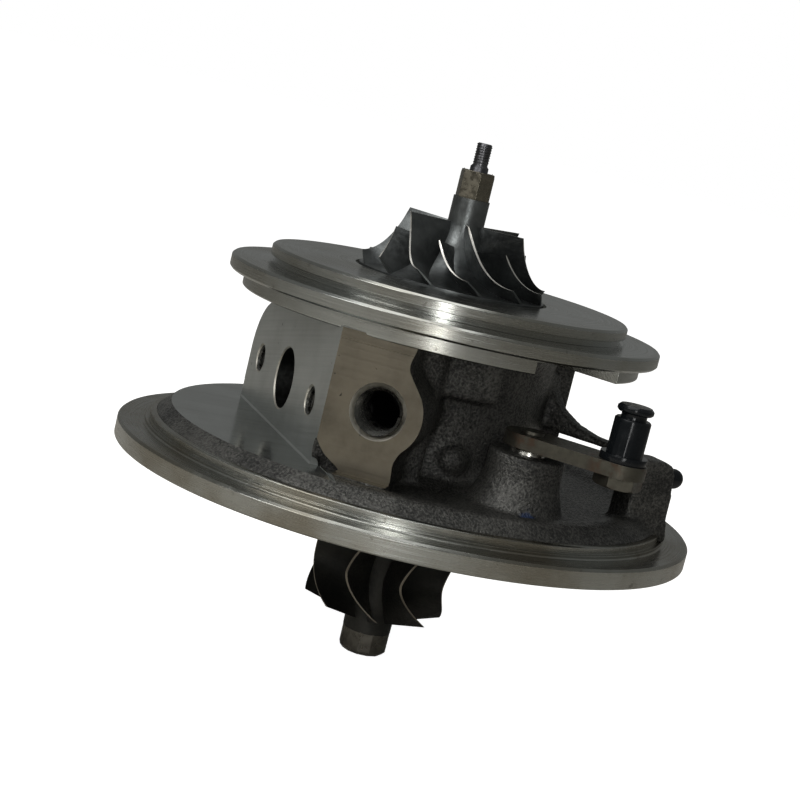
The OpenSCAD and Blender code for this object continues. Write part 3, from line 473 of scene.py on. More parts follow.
class Blank:
    """A mesh being worked on, in millimetres until it is set down."""

    def __init__(self, slot: int = 0) -> None:
        """Starts an empty mesh.

        Args:
            slot: material number of the shells that are added.
        """
        self.bm = bmesh.new()
        self.slot = slot

    def _join(self, shell: bmesh.types.BMesh, at: Matrix | None = None) -> None:
        """Closes, numbers and places a shell, and adds it to the blank.

        Args:
            shell: the shell, used up by this.
            at: where it goes.
        """
        bmesh.ops.remove_doubles(shell, verts=shell.verts, dist=1e-4)
        bmesh.ops.recalc_face_normals(shell, faces=shell.faces)
        if self.slot:
            for face in shell.faces:
                face.material_index = self.slot
        if at is not None:
            bmesh.ops.transform(shell, matrix=at, verts=shell.verts)
        mesh = bpy.data.meshes.new("shell")
        shell.to_mesh(mesh)
        shell.free()
        self.bm.from_mesh(mesh)
        bpy.data.meshes.remove(mesh)

    def turn(self, profile: Sequence[Point2], steps: int = 144, at: Matrix | None = None, sweep: float = 360.0,
             start: float = 0.0, rise: float = 0.0) -> None:
        """Turns a closed outline of radius and height about the Z axis.

        Args:
            profile: the outline's corners.
            steps: sides of a full turn.
            at: where the shell goes.
            sweep: the turn in degrees.
            start: the angle at which it starts.
            rise: how far it climbs in a full turn, for a screw thread.
        """
        shell = bmesh.new()
        aim = Matrix.Rotation(math.radians(start), 3, "Z")
        points = [shell.verts.new(aim @ Vector((r, 0.0, z))) for r, z in profile]
        edges = [shell.edges.new(pair) for pair in zip(points, points[1:] + points[:1])]
        turns = sweep / 360.0
        count, ring = max(3, round(steps * turns)), sweep >= 360.0 and not rise
        bmesh.ops.spin(
            shell, geom=points + edges, cent=(0, 0, 0), axis=(0, 0, 1), dvec=(0, 0, rise * turns / count),
            angle=math.tau * turns, steps=count, use_merge=ring,
        )
        if not ring:
            bmesh.ops.holes_fill(shell, edges=[e for e in shell.edges if e.is_boundary], sides=0)
        self._join(shell, at)

    def drum(self, radius: float, low: float, high: float, at: Matrix, top: float | None = None) -> None:
        """A round bar or cone along Z.

        Args:
            radius: its radius at the low end.
            low: its lower end.
            high: its upper end.
            at: where it goes.
            top: its radius at the high end, where that differs.
        """
        shell = bmesh.new()
        bmesh.ops.create_cone(
            shell, cap_ends=True, segments=64, radius1=radius, radius2=radius if top is None else top,
            depth=high - low, matrix=Matrix.Translation((0, 0, (low + high) / 2)),
        )
        self._join(shell, at)

    def slab(self, low: Sequence[float], high: Sequence[float], at: Matrix | None = None) -> None:
        """A block between two corners.

        Args:
            low: its lowest corner.
            high: its highest corner.
            at: where it goes.
        """
        shell = bmesh.new()
        middle = [(a + b) / 2 for a, b in zip(low, high)]
        size = [b - a for a, b in zip(low, high)]
        bmesh.ops.create_cube(shell, size=1.0, matrix=Matrix.Translation(middle) @ Matrix.Diagonal((*size, 1.0)))
        self._join(shell, at)

    def plate(self, outline: Sequence[Point2], low: float, high: float, at: Matrix | None = None) -> None:
        """A flat outline pushed out along Z.

        Args:
            outline: its corners.
            low: its lower face.
            high: its upper face.
            at: where it goes.
        """
        shell = bmesh.new()
        face = shell.faces.new([shell.verts.new((x, y, low)) for x, y in outline])
        made = bmesh.ops.extrude_face_region(shell, geom=[face])
        raised = [g for g in made["geom"] if isinstance(g, bmesh.types.BMVert)]
        bmesh.ops.translate(shell, vec=(0, 0, high - low), verts=raised)
        self._join(shell, at)

    def ball(self, radius: float, at: Matrix) -> None:
        """A ball.

        Args:
            radius: its radius.
            at: where it goes.
        """
        shell = bmesh.new()
        bmesh.ops.create_uvsphere(shell, u_segments=32, v_segments=16, radius=radius)
        self._join(shell, at)

    def fins(self, count: int, bend: Bend) -> None:
        """A ring of blades: a finely divided block is bent to the blade's surface and repeated about the Z axis.

        Args:
            count: how many blades.
            bend: gives a point from its side (-1 or 1), its chord (0 to 1) and its span (0 to 1).
        """
        shell = bmesh.new()
        bmesh.ops.create_cube(shell, size=1.0)
        for axis, cuts in ((1, CHORDS - 1), (2, SPANS - 1)):
            long = [e for e in shell.edges if abs((e.verts[0].co - e.verts[1].co).normalized()[axis]) > 0.9]
            bmesh.ops.subdivide_edges(shell, edges=long, cuts=cuts, use_grid_fill=True)
        for face in shell.faces:
            edge = all(v.co.z > 0.499 for v in face.verts) or all(v.co.y < -0.499 for v in face.verts)
            face.material_index = BLADE_EDGE if edge else 0
        for vert in shell.verts:
            x, y, z = vert.co
            vert.co = bend(2 * x, y + 0.5, z + 0.5)
        bmesh.ops.spin(
            shell, geom=[*shell.verts, *shell.edges, *shell.faces], cent=(0, 0, 0), axis=(0, 0, 1),
            angle=math.tau * (count - 1) / count, steps=count - 1, use_duplicate=True,
        )
        self._join(shell)

    def set_down(self, name: str, materials: Sequence[bpy.types.Material], crease: float = 32.0) -> bpy.types.Object:
        """Makes the finished object, in metres.

        Args:
            name: the piece's name.
            materials: its materials, by number.
            crease: the angle above which an edge stays sharp.

        Returns:
            The object.
        """
        bmesh.ops.scale(self.bm, vec=(MM, MM, MM), verts=self.bm.verts)
        mesh = bpy.data.meshes.new(name)
        self.bm.to_mesh(mesh)
        self.bm.free()
        return lay(name, mesh, materials, crease)


def lay(
    name: str, mesh: bpy.types.Mesh, materials: Sequence[bpy.types.Material], crease: float = 32.0,
) -> bpy.types.Object:
    """Puts a mesh in the scene.

    Args:
        name: the piece's name.
        mesh: its mesh.
        materials: its materials, by number.
        crease: the angle above which an edge stays sharp.

    Returns:
        The object.
    """
    for material in materials:
        if material.name not in mesh.materials:
            mesh.materials.append(material)
    mesh.shade_smooth()
    mesh.set_sharp_from_angle(angle=math.radians(crease))
    obj = bpy.data.objects.new(name, mesh)
    bpy.context.scene.collection.objects.link(obj)
    return obj


def soften(obj: bpy.types.Object, width: float, angle: float = 30.0) -> bpy.types.Object:
    """Breaks a piece's sharp edges.

    Args:
        obj: the piece.
        width: the width of the break in millimetres.
        angle: the angle above which an edge is broken.

    Returns:
        The piece.
    """
    bevel = obj.modifiers.new("edge_break", "BEVEL")
    bevel.width = width * MM
    bevel.segments = 2
    bevel.limit_method = "ANGLE"
    bevel.angle_limit = math.radians(angle)
    bevel.harden_normals = True
    return obj


def machine(rough: bpy.types.Object, cutters: Sequence[bpy.types.Object], name: str) -> bpy.types.Mesh:
    """Cuts a blank, and clears the blank and the cutters away.

    Args:
        rough: the blank, with any modifiers that come before the cutting.
        cutters: what is taken off, one after another.
        name: the finished mesh's name.

    Returns:
        The cut mesh.
    """
    for cutter in cutters:
        cut = rough.modifiers.new("cut", "BOOLEAN")
        cut.operation = "DIFFERENCE"
        cut.solver = "MANIFOLD"
        cut.object = cutter
    bpy.context.view_layer.update()
    mesh = bpy.data.meshes.new_from_object(rough.evaluated_get(bpy.context.evaluated_depsgraph_get()))
    mesh.name = name
    for spare in [rough, *cutters]:
        bpy.data.objects.remove(spare)
    LOG.info("%s has %d faces", name, len(mesh.polygons))
    return mesh


def spun(angle: float, axis: str = "Z") -> Matrix:
    """A turn about an axis.

    Args:
        angle: the turn in degrees.
        axis: the axis, X, Y or Z.

    Returns:
        The turning matrix.
    """
    return Matrix.Rotation(math.radians(angle), 4, axis)


def arc(radius: float, angles: Iterable[float], centre: Point2 = (0.0, 0.0)) -> list[Point2]:
    """Points on a circle.

    Args:
        radius: the circle's radius.
        angles: the points' angles in degrees.
        centre: the circle's centre.

    Returns:
        The points.
    """
    x, y = centre
    return [(x + radius * math.cos(math.radians(a)), y + radius * math.sin(math.radians(a))) for a in angles]


def along_x(angle: float) -> Matrix:
    """Turns a shape that stands on Z so that it points outwards at an angle about the rotor axis.

    Args:
        angle: the direction in degrees; the shape's X runs along the tangent and its Y upwards.

    Returns:
        The placing matrix.
    """
    swap = Matrix(((0, 0, 1, 0), (1, 0, 0, 0), (0, 1, 0, 0), (0, 0, 0, 1)))
    return spun(angle) @ swap


def hand_over(obj: bpy.types.Object, body: Body, slot: str, *nodes: str) -> None:
    """Ties a piece to its body and the solids it stands for.

    Args:
        obj: the piece.
        body: the body it moves with.
        slot: the record's material slot; not used.
        nodes: the solids that it replaces.
    """
    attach(obj, body.value)
    if nodes:
        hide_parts(*nodes)
    LOG.info("%s on %s", obj.name, body.value)


# The part


class Skin(IntEnum):
    """Material numbers of the casting."""

    CAST = 0
    DRAIN_PAD = 1
    PORT_PAD = 2
    # Bore faces, painted dark as the shade inside the holes.
    BORE = 3
    # Chamfer faces, painted pale as a highlight.
    LEAD = 4
    FLAT = 5


@dataclass(frozen=True)
class Hole:
    """A hole drilled square to a pad, with a chamfer and sometimes a thread."""

    angle: float
    face: float
    high: float
    bore: float
    depth: float
    lead: float
    side: float = 0.0
    thread_r: float = 0.0
    pitch: float = 0.0
    turns: float = 0.0

    def at(self) -> Matrix:
        """The place of the hole's axis."""
        return along_x(self.angle) @ Matrix.Translation((self.side, self.high, 0))

    def profile(self) -> list[Point2]:
        """Outline of the bore with the drill's cone at its end."""
        low, top = self.face - self.depth, self.face + 0.5
        return [(0.0, low - self.bore * 0.5), (self.bore, low), (self.bore, top), (0.0, top)]

    def ridge(self) -> list[Point2]:
        """Outline of the thread in its deepest turn."""
        r, p = self.thread_r, self.pitch
        low = self.face - 0.9 - p * self.turns
        return [(r, low), (r - p * 0.5, low + p * 0.42), (r - p * 0.5, low + p * 0.55), (r, low + p * 0.97)]


@dataclass
class Housing:
    """Bearing housing: the casting between two turned flanges, with its milled pads and drilled holes."""

    finishes: Finishes
    flange_r: float = 80.0
    face_z: float = 5.3
    step_r: float = 71.6
    recess_r: float = 66.0
    recess_z: float = 6.5
    collar_r: Point2 = (29.0, 32.0)
    collar_z: float = 3.0
    shaft_r: float = 8.5
    crest_r: float = 67.2
    crest_z: float = 12.0
    valley_z: float = 10.2
    flat_z: float = 11.7
    foot_z: float = 7.5
    neck_r: float = 33.0
    under_z: float = 50.5
    top_z: float = 54.5
    top_r: float = 59.5
    reg_z: float = 59.2
    reg_r: float = 49.4
    groove: Point2 = (1.4, 1.75)
    pocket_r: float = 26.6
    pocket_z: float = 58.05
    seat_r: float = 22.05
    clip_r: float = 23.05
    clip_z: Point2 = (56.07, 57.35)
    thrust_r: float = 16.45
    thrust_z: Point2 = (46.7, 50.7)
    core_r: float = 36.0
    rim_r: float = 55.1
    rim_z: float = 46.45
    rim_start: float = -51.2
    rim_sweep: float = 327.7
    drain_x: float = 40.0
    drain_z: float = 25.3
    drain_corner: float = 15.7
    bolt_y: float = 26.5
    port_a: float = 238.5
    port_d: float = 54.6
    port2_a: float = 58.5
    port2_d: float = 46.0
    port_z: float = 28.9
    boss_r: float = 11.5
    feed_x: float = 39.0
    feed_z: float = 29.3
    spindle: Point2 = (15.35, -42.3)
    spindle_boss: Point2 = (10.0, 24.6)
    stop: Point2 = (61.2, -36.4)
    stop_a: float = 11.0
    tower_z: float = 28.5
    web: Point2 = (31.0, -14.1)
    web_a: float = -49.4
    chamfer: float = 0.6
    edge: float = 0.12
    facets: int = 220
    voxel: float = 0.72
    rounding: int = 9
    clear: float = 110.0

    def build(self) -> None:
        """Makes all the housing's pieces."""
        self.turbine_flange()
        self.compressor_flange()
        self.casting()
        self.threads()

    def turbine_flange(self) -> None:
        """The large flange with its stepped face and the vane gear recess below."""
        blank = Blank()
        r, f, s, e = self.flange_r, self.face_z, self.step_r, self.chamfer
        inner, outer = self.collar_r
        blank.turn([
            (r - 0.35, 0.0), (r, 0.35), (r, f - e), (r - e, f), (s + 1.5, f), (s + 1.2, f + 0.3), (s + 1.2, f + 1.1),
            (s, f + 1.1), (s, f + 2.75), (s - 0.3, f + 2.95), (s - 1.6, f + 3.2), (s - 1.6, f + 2.2),
            (self.shaft_r, f + 2.2), (self.shaft_r, 0.0), (inner, 0.0), (inner, self.collar_z),
            (outer, self.collar_z), (outer, self.recess_z), (self.recess_r, self.recess_z), (self.recess_r, 0.35),
            (self.recess_r + 0.4, 0.0),
        ], self.facets)
        piece = soften(blank.set_down("turbine_flange", [self.finishes.turned]), self.edge)
        hand_over(piece, Body.HOUSING, "cast_body", "bearing_housing")

    def compressor_flange(self) -> None:
        """The smaller flange with its register, seal groove, rim and wheel pocket."""
        blank = Blank()
        u, t, e, core = self.under_z, self.top_z, self.chamfer, self.core_r
        top, reg, high = self.top_r, self.reg_r, self.reg_z
        (sunk, tall), (clip_low, clip_high), (low, seat) = self.groove, self.clip_z, self.thrust_z
        blank.turn([
            (core, u), (top - e, u), (top, u + e), (top, t - e), (top - e, t), (reg - sunk, t),
            (reg - sunk, t + tall), (reg, t + tall), (reg, high - e), (reg - e, high), (self.pocket_r, high),
            (self.pocket_r, self.pocket_z), (self.seat_r, self.pocket_z), (self.seat_r, clip_high),
            (self.clip_r, clip_high), (self.clip_r, clip_low), (self.seat_r, clip_low), (self.seat_r, seat),
            (self.thrust_r, seat), (self.thrust_r, low), (core, low),
        ], self.facets)
        blank.turn([
            (core, self.rim_z), (self.rim_r - 0.3, self.rim_z), (self.rim_r, self.rim_z + 0.3),
            (self.rim_r, u + 0.02), (core, u + 0.02),
        ], self.facets, sweep=self.rim_sweep, start=self.rim_start)
        piece = soften(blank.set_down("compressor_flange", [self.finishes.turned_top]), self.edge)
        hand_over(piece, Body.HOUSING, "cast_body", "bearing_housing")

    def port_outline(self) -> list[Point2]:
        """Outline of the coolant port's pad, across and up."""
        z, top = self.port_z, self.rim_z
        return [
            (-15.6, z - 8.2), (-14.2, z - 9.0), (-12.7, z - 11.5), (-11.0, z - 13.6), (-7.4, z - 15.9),
            (-2.9, z - 17.2), (2.0, z - 17.3), (7.2, z - 16.9), (6.6, z - 11.6),
            *arc(self.boss_r, range(-48, 44, 6), (0.0, z)), (6.4, z + 10.4), (5.3, z + 11.8), (5.1, z + 13.6),
            (5.9, top - 0.8), (6.4, top + 0.7), (-15.6, top + 0.7),
        ]

    def rough_casting(self) -> Blank:
        """The casting before machining, as overlapping shells with stock left on its pads."""
        blank = Blank()
        v, c, n, u = self.valley_z, self.crest_r, self.neck_r, self.under_z
        crest, port, foot = self.crest_z, self.port_z, self.foot_z
        blank.turn([
            (0.0, 7.0), (c + 3.2, 7.0), (c + 3.1, 8.3), (c + 0.9, 10.4), (c - 1.0, 12.2), (c - 2.6, crest + 0.1),
            (c - 4.4, crest + 0.2), (c - 6, v + 1.6), (c - 9, v), (n + 7, v), (n + 2, v + 2),
            (n, v + 7), (n, u - 7), (n + 2, u - 2), (n + 7, u), (n + 12, u + 0.4), (0.0, u + 0.4),
        ])
        d, r, top = self.drain_x, self.drain_corner, self.rim_z + 0.9
        corner = d - 1.8 - r
        curve = [(y, min(z, top)) for y, z in arc(r, range(0, 91, 6), (corner, self.drain_z + 1))]
        blank.plate([(-d + 2, v - 1), (corner + r, v - 1), *curve, (-d + 2, top)], -d - 12, -10, along_x(0))
        blank.plate(arc(c - 1.4, range(122, 235, 4)), v - 1, self.flat_z + 1.8)
        blank.drum(6.0, foot, 11.5, Matrix.Translation((-36.0, -46.0, 0)))
        blank.plate(self.port_outline(), n - 6, self.port_d + 4, along_x(self.port_a))
        port2 = along_x(self.port2_a) @ Matrix.Translation((0, port, 0))
        blank.drum(self.boss_r, n - 6, self.port2_d + 4, port2)
        blank.slab((n - 14, -7.5, self.feed_z - 11), (self.feed_x + 4, 11.0, u))
        blank.turn([(20.0, port + 5), (38.0, port + 5), (38.0, u), (20.0, u)], sweep=35, start=-116)
        (r, top), spindle = self.spindle_boss, Matrix.Translation((*self.spindle, 0))
        blank.drum(r, foot, top, spindle)
        blank.drum(r + 3.4, foot, top - 5.5, spindle, top=r - 0.3)
        blank.ball(5.0, spun(-91.3) @ Matrix.Translation((n - 1.6, 0, port - 11.5)))
        upright, high = spun(90, "X"), self.tower_z - self.face_z
        tower = Matrix.Translation((*self.stop, self.face_z)) @ spun(self.stop_a)
        blank.plate([
            (-14.6, 2.1), (-2.5, 2.1), (-2.5, 1.0), (0.6, 1.0), (0.6, 3.0), (-0.9, 7.0), (-1.5, high - 5),
            (-2.6, high - 1.4), (-5.2, high - 0.4), (-14.6, high),
        ], -5.5, 3.2, tower @ upright)
        web = Matrix.Translation((*self.web, self.tower_z)) @ spun(self.web_a)
        blank.plate([
            (-8, -1.2), (24, -1.2), (24, 0.2), (15, 0.9), (9, 2.4), (4, 5.2), (1, 9), (0, 14), (-8, 14),
        ], -3, 3, web @ upright)
        return blank

    def milling(self) -> list[Blank]:
        """What the cutters take off each pad; each pad has its own finish."""
        d, f, r, z, u = self.drain_x, self.flat_z, self.flange_r, self.port_z, self.under_z
        port, port2, feed = self.port_d, self.port2_d, self.feed_x
        blanks = [Blank(Skin.DRAIN_PAD)]
        blanks[0].plate(
            [(-self.clear, f), (-d - 0.4, f), (-d, f + 0.4), (-d, u + 1), (-self.clear, u + 1)], -r, r,
            spun(90, "X"),
        )
        for low, high, at, slot in (
            ((-41.0, d - 2.1, f), (-28.0, r, f + 5), None, Skin.DRAIN_PAD),
            ((-41.0, -r, f), (-37.8, -d + 0.6, f + 3), None, Skin.DRAIN_PAD),
            ((port, -20.0, f + 0.05), (port + 4.6, 16.0, u + 1), spun(self.port_a), Skin.PORT_PAD),
            ((port2, -16.0, z - 14), (port2 + 20, 16.0, z + 14), spun(self.port2_a), Skin.PORT_PAD),
            ((feed, -15.0, self.feed_z - 14), (feed + 14, 15.0, u - 0.4), None, Skin.PORT_PAD),
        ):
            blanks.append(Blank(slot))
            blanks[-1].slab(low, high, at)
        return blanks

    def holes(self) -> list[Hole]:
        """The drain, its two bolt holes, the two coolant ports and the oil feed."""
        d, z = self.drain_x, self.drain_z
        return [
            Hole(180, d, z, 8.2, 34.0, 0.35),
            *(Hole(180, d, z, 3.6, 16.0, 0.5, y, 3.7, 1.25, 10.0) for y in (-self.bolt_y, self.bolt_y)),
            Hole(self.port_a, self.port_d, self.port_z, 5.95, 44.0, 1.35, 0.0, 6.0, 1.5, 9.0),
            Hole(self.port2_a, self.port2_d, self.port_z, 5.95, 13.0, 0.85, 0.0, 6.0, 1.5, 7.0),
            Hole(0, self.feed_x, self.feed_z, 4.9, 12.0, 0.6, 0.0, 5.0, 1.0, 9.0),
        ]

    def drilling(self) -> list[Blank]:
        """The drilled holes and their chamfers, each with its own finish."""
        shaded_bores, highlighted_leads = Blank(Skin.BORE), Blank(Skin.LEAD)
        for hole in self.holes():
            # The bores carry the darkest finish, painted shade.
            shaded_bores.turn(hole.profile(), 64, hole.at())
            # The chamfers carry the pale finish, a painted highlight.
            low, top = hole.face - hole.lead - 0.2, hole.face + 0.5
            highlighted_leads.drum(hole.bore - 0.2, low, top, hole.at(), hole.bore + hole.lead + 0.5)
        return [shaded_bores, highlighted_leads]

    def casting(self) -> None:
        """Fuses and rounds the rough casting, then mills and drills it."""
        f = self.finishes
        skins = [f.cast, f.drain_pad, f.port_pad, f.bore, f.lead, f.flat]
        rough = self.rough_casting().set_down("rough_casting", skins)
        cutters = [blank.set_down("cutter", skins) for blank in (*self.milling(), *self.drilling())]
        fuse = rough.modifiers.new("fuse", "REMESH")
        fuse.mode = "VOXEL"
        fuse.voxel_size = self.voxel * MM
        smooth = rough.modifiers.new("rounding", "SMOOTH")
        smooth.factor = 0.5
        smooth.iterations = self.rounding
        piece = lay("casting", machine(rough, cutters, "casting"), skins, 38.0)
        for face in piece.data.polygons:
            face.use_smooth = face.material_index not in (Skin.DRAIN_PAD, Skin.PORT_PAD)
            if face.material_index == Skin.DRAIN_PAD and face.normal.z > 0.9:
                face.material_index = Skin.FLAT
        hand_over(piece, Body.HOUSING, "cast_body", "bearing_housing")

    def threads(self) -> None:
        """The threads in the ports and in the drain's bolt holes."""
        blank = Blank()
        for hole in self.holes():
            if hole.turns:
                blank.turn(hole.ridge(), 40, hole.at(), sweep=360 * hole.turns, rise=hole.pitch)
        # Their finish is dark: painted shade inside the holes.
        hand_over(blank.set_down("port_threads", [self.finishes.thread]), Body.HOUSING, "cast_body")


@dataclass
class CompressorWheel:
    """Milled compressor wheel with full blades and splitters, and the shaft's threaded end above it."""

    finishes: Finishes
    radius: float = 25.7
    back_z: float = 58.7
    rim_z: float = 59.55
    top_z: float = 76.1
    inducer_r: float = 17.8
    exit_b: float = 3.3
    nose_r: float = 5.0
    nose_z: float = 82.7
    blades: int = 6
    wrap: float = 36.0
    rake: float = 12.0
    splitter: float = 22.7
    root_t: float = 1.2
    tip_t: float = 0.6
    sunk: Point2 = (0.5, 0.4)
    thinned: float = 0.45
    bore_r: float = 2.45
    screw: tuple[Point2, ...] = ((1.9, 91.9), (2.16, 92.1), (2.16, 92.2), (1.9, 92.4))
    screw_pitch: float = 0.7
    screw_turns: float = 7.6

    def line(self, inner: float, low: float, a: float) -> Point2:
        """Radius and height on the hub or tip line at an angle from 0 at the inducer to 90 at the rim."""
        c, s = math.cos(math.radians(a)), math.sin(math.radians(a))
        return inner + (self.radius - inner) * (1 - c), low + (self.top_z - low) * (1 - s)

    def blade(self, start: float, turn: float) -> Bend:
        """The surface of one blade.

        Args:
            start: the angle on the hub line at which it starts.
            turn: its turn about the rotor axis.

        Returns:
            A function of side, chord and span.
        """
        def bend(side: float, chord: float, span: float) -> Vector:
            """A point of the blade."""
            a = start + (90 - start) * chord
            r0, z0 = self.line(self.nose_r, self.rim_z, a)
            r1, z1 = self.line(self.inducer_r, self.rim_z + self.exit_b, a)
            r0, z0 = r0 - self.sunk[0], z0 - self.sunk[1]
            r, z = r0 + (r1 - r0) * span, z0 + (z1 - z0) * span
            share = a / 90
            angle = turn - self.rake * span * share - (self.wrap + self.rake) * (1 - share)
            half = (self.root_t + (self.tip_t - self.root_t) * span) / 2
            half *= self.thinned + (1 - self.thinned) * min(1.0, chord * 14)
            c, s = math.cos(math.radians(angle)), math.sin(math.radians(angle))
            return Vector((r * c - side * half * s, r * s + side * half * c, z))
        return bend

    def build(self) -> None:
        """Makes the wheel and the thread on the shaft's end."""
        blank = Blank()
        hub = [self.line(self.nose_r, self.rim_z, 90 - 3 * i) for i in range(31)]
        blank.turn([
            (self.bore_r, self.back_z), (self.radius, self.back_z), *hub, (self.nose_r, self.nose_z),
            (self.bore_r, self.nose_z),
        ], 160)
        for start, turn in ((0.0, 0.0), (self.splitter, 180 / self.blades)):
            blank.fins(self.blades, self.blade(start, turn))
        wheel = blank.set_down("compressor_wheel_milled", [self.finishes.wheel, self.finishes.wheel_edge], 40.0)
        hand_over(wheel, Body.ROTOR, "wheel_aluminium", "compressor_wheel")
        screw = Blank()
        screw.turn(self.screw, 32, sweep=360 * self.screw_turns, rise=self.screw_pitch)
        hand_over(screw.set_down("shaft_end_thread", [self.finishes.spring]), Body.ROTOR, "plain_steel")


@dataclass
class TurbineWheel:
    """Cast turbine wheel with its ground nose."""

    finishes: Finishes
    radius: float = 23.0
    exducer_r: float = 19.2
    front_z: float = -3.2
    tip_z: float = -32.9
    hub_r: float = 18.5
    nose_r: float = 6.7
    nose_z: float = -46.7
    bend_z: float = -21.7
    bend_a: float = -137.3
    bend_low: Point3 = (29.3, 10.4, 1.75)
    bend_high: Point3 = (6.4, 6.3, 1.5)
    hub_fade: float = 7.0
    tip_fade: float = 7.5
    wide_z: float = -8.0
    root_low: float = 4.0
    blades: int = 8
    root_t: float = 1.9
    tip_t: float = 0.75

    def hub(self, z: float) -> float:
        """Radius of the hub at a height."""
        return self.nose_r + (self.hub_r - self.nose_r) * math.exp((z - self.front_z) / self.hub_fade)

    def reach(self, z: float) -> float:
        """Radius of the blade tips at a height."""
        share = min(1.0, math.exp((z - self.wide_z) / self.tip_fade))
        return self.exducer_r + (self.radius - self.exducer_r) * share

    def turn(self, z: float) -> float:
        """Turn of a blade at a height."""
        angle, height, power = self.bend_low if z < self.bend_z else self.bend_high
        return self.bend_a + angle * (abs(z - self.bend_z) / height) ** power

    def bend(self, side: float, chord: float, span: float) -> Vector:
        """A point of a blade from its side, chord and span."""
        tip_z = self.front_z + (self.tip_z - self.front_z) * chord
        root_z = self.front_z + (self.tip_z - self.root_low - self.front_z) * chord
        r0 = max(self.hub(root_z) - 1.0, 3.0)
        r, z = r0 + (self.reach(tip_z) - r0) * span, root_z + (tip_z - root_z) * span
        half = (self.root_t + (self.tip_t - self.root_t) * span) / 2
        a = math.radians(self.turn(tip_z))
        return Vector((r * math.cos(a) - side * half * math.sin(a), r * math.sin(a) + side * half * math.cos(a), z))

    def build(self) -> None:
        """Makes the wheel."""
        blank = Blank()
        front, nose, r = self.front_z, self.nose_z, self.nose_r
        low = self.tip_z - 4.5
        heights = [front + (low - front) * i / 30 for i in range(31)]
        blank.turn([
            (0.0, 2.0), (7.5, 2.0), (7.5, -1.6), (self.hub_r, -2.2), *((self.hub(z), z) for z in heights),
            (r, nose + 6.4), (0.0, nose + 6.4),
        ], 128)
        blank.fins(self.blades, self.bend)
        blank.slot = GROUND_NOSE
        blank.turn([
            (0.0, nose), (r - 1.1, nose), (r, nose + 1.1), (r + 0.05, nose + 6.6), (0.0, nose + 6.6),
        ], 12)
        skins = [self.finishes.turbine, self.finishes.turbine_edge, self.finishes.turbine_nose]
        wheel = soften(blank.set_down("turbine_wheel_cast", skins, 25.0), 0.15, 24.0)
        hand_over(wheel, Body.ROTOR, "hot_alloy", "turbine_wheel")


@dataclass
class SmallParts:
    """The pieces that keep their solids, with finishes and broken edges, and the lever, which is made afresh."""

    finishes: Finishes
    weld: float = 0.005
    spindle: Point2 = (15.35, -42.3)
    lever_a: float = -42.9
    lever_l: float = 24.7
    lever_r0: float = 7.0
    lever_r1: float = 6.5
    lever_z: float = 26.2
    lever_t: float = 3.6
    spindle_r: float = 3.0
    shank_r: float = 3.0

    def build(self) -> None:
        """Gives each solid its finish and the width of its broken edges, and makes the lever."""
        f = self.finishes
        looks = (
            (f.steel, 0, "bearing_pin", "turbine_seal_ring", "compressor_seal_ring", "spindle_seal_ring"),
            (f.steel, 0, "thrust_collar", "oil_flinger"), (f.steel, 0.15, "seal_plate"),
            (f.steel, 0.2, "stop_screw_locknut"), (f.rubber, 0, "seal_plate_o_ring"),
            (f.spring, 0, "seal_plate_circlip"), (f.spring, 0.08, "rotor_shaft"),
            (f.bronze, 0, "thrust_bearing", "journal_bearing"), (f.sheet, 0.25, "heat_shield"),
            (f.bright, 0.2, "spindle_bush"), (f.bright, 0.25, "crank_pin"), (f.black, 0.1, "stop_screw"),
            (f.black, 0.22, "lever_pin"), (f.nut, 0.22, "compressor_nut"), (f.lever, 0.25, "lever_spindle"),
            (f.lever, 0.3, "crank_arm"), (f.lever, 0.2, "lever_pin_nut"),
        )
        for material, width, node in ((m, w, n) for m, w, *nodes in looks for n in nodes):
            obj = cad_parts[node]
            obj.data.materials.clear()
            obj.data.materials.append(material)
            if width:
                weld = obj.modifiers.new("weld", "WELD")
                weld.merge_threshold = self.weld * MM
                soften(obj, width, 28.0)
            LOG.info("%s dressed with %s", node, material.name)
        self.lever()

    def lever(self) -> None:
        """The lever as in the photo: a bar whose straight sides touch both round ends."""
        lean = math.degrees(math.acos((self.lever_r0 - self.lever_r1) / self.lever_l))
        ends = ((self.lever_r0, 0.0, lean, 360.0 - lean), (self.lever_r1, self.lever_l, -lean, lean))
        outline = [
            point for r, x, a, b in ends for point in arc(r, (a + (b - a) * i / 32 for i in range(33)), (x, 0.0))
        ]
        at = Matrix.Translation((*self.spindle, 0.0)) @ spun(self.lever_a)
        bar, holes = Blank(), Blank()
        bar.plate(outline, self.lever_z, self.lever_z + self.lever_t, at)
        for radius, x in ((self.spindle_r, 0.0), (self.shank_r, self.lever_l)):
            holes.drum(radius, self.lever_z - 1, self.lever_z + self.lever_t + 1, at @ Matrix.Translation((x, 0, 0)))
        skin = [self.finishes.lever]
        mesh = machine(bar.set_down("lever_blank", skin), [holes.set_down("lever_holes", skin)], "lever_bar")
        hand_over(soften(lay("lever_bar", mesh, skin), 0.35), Body.LEVER, "lever_steel", "actuator_lever")


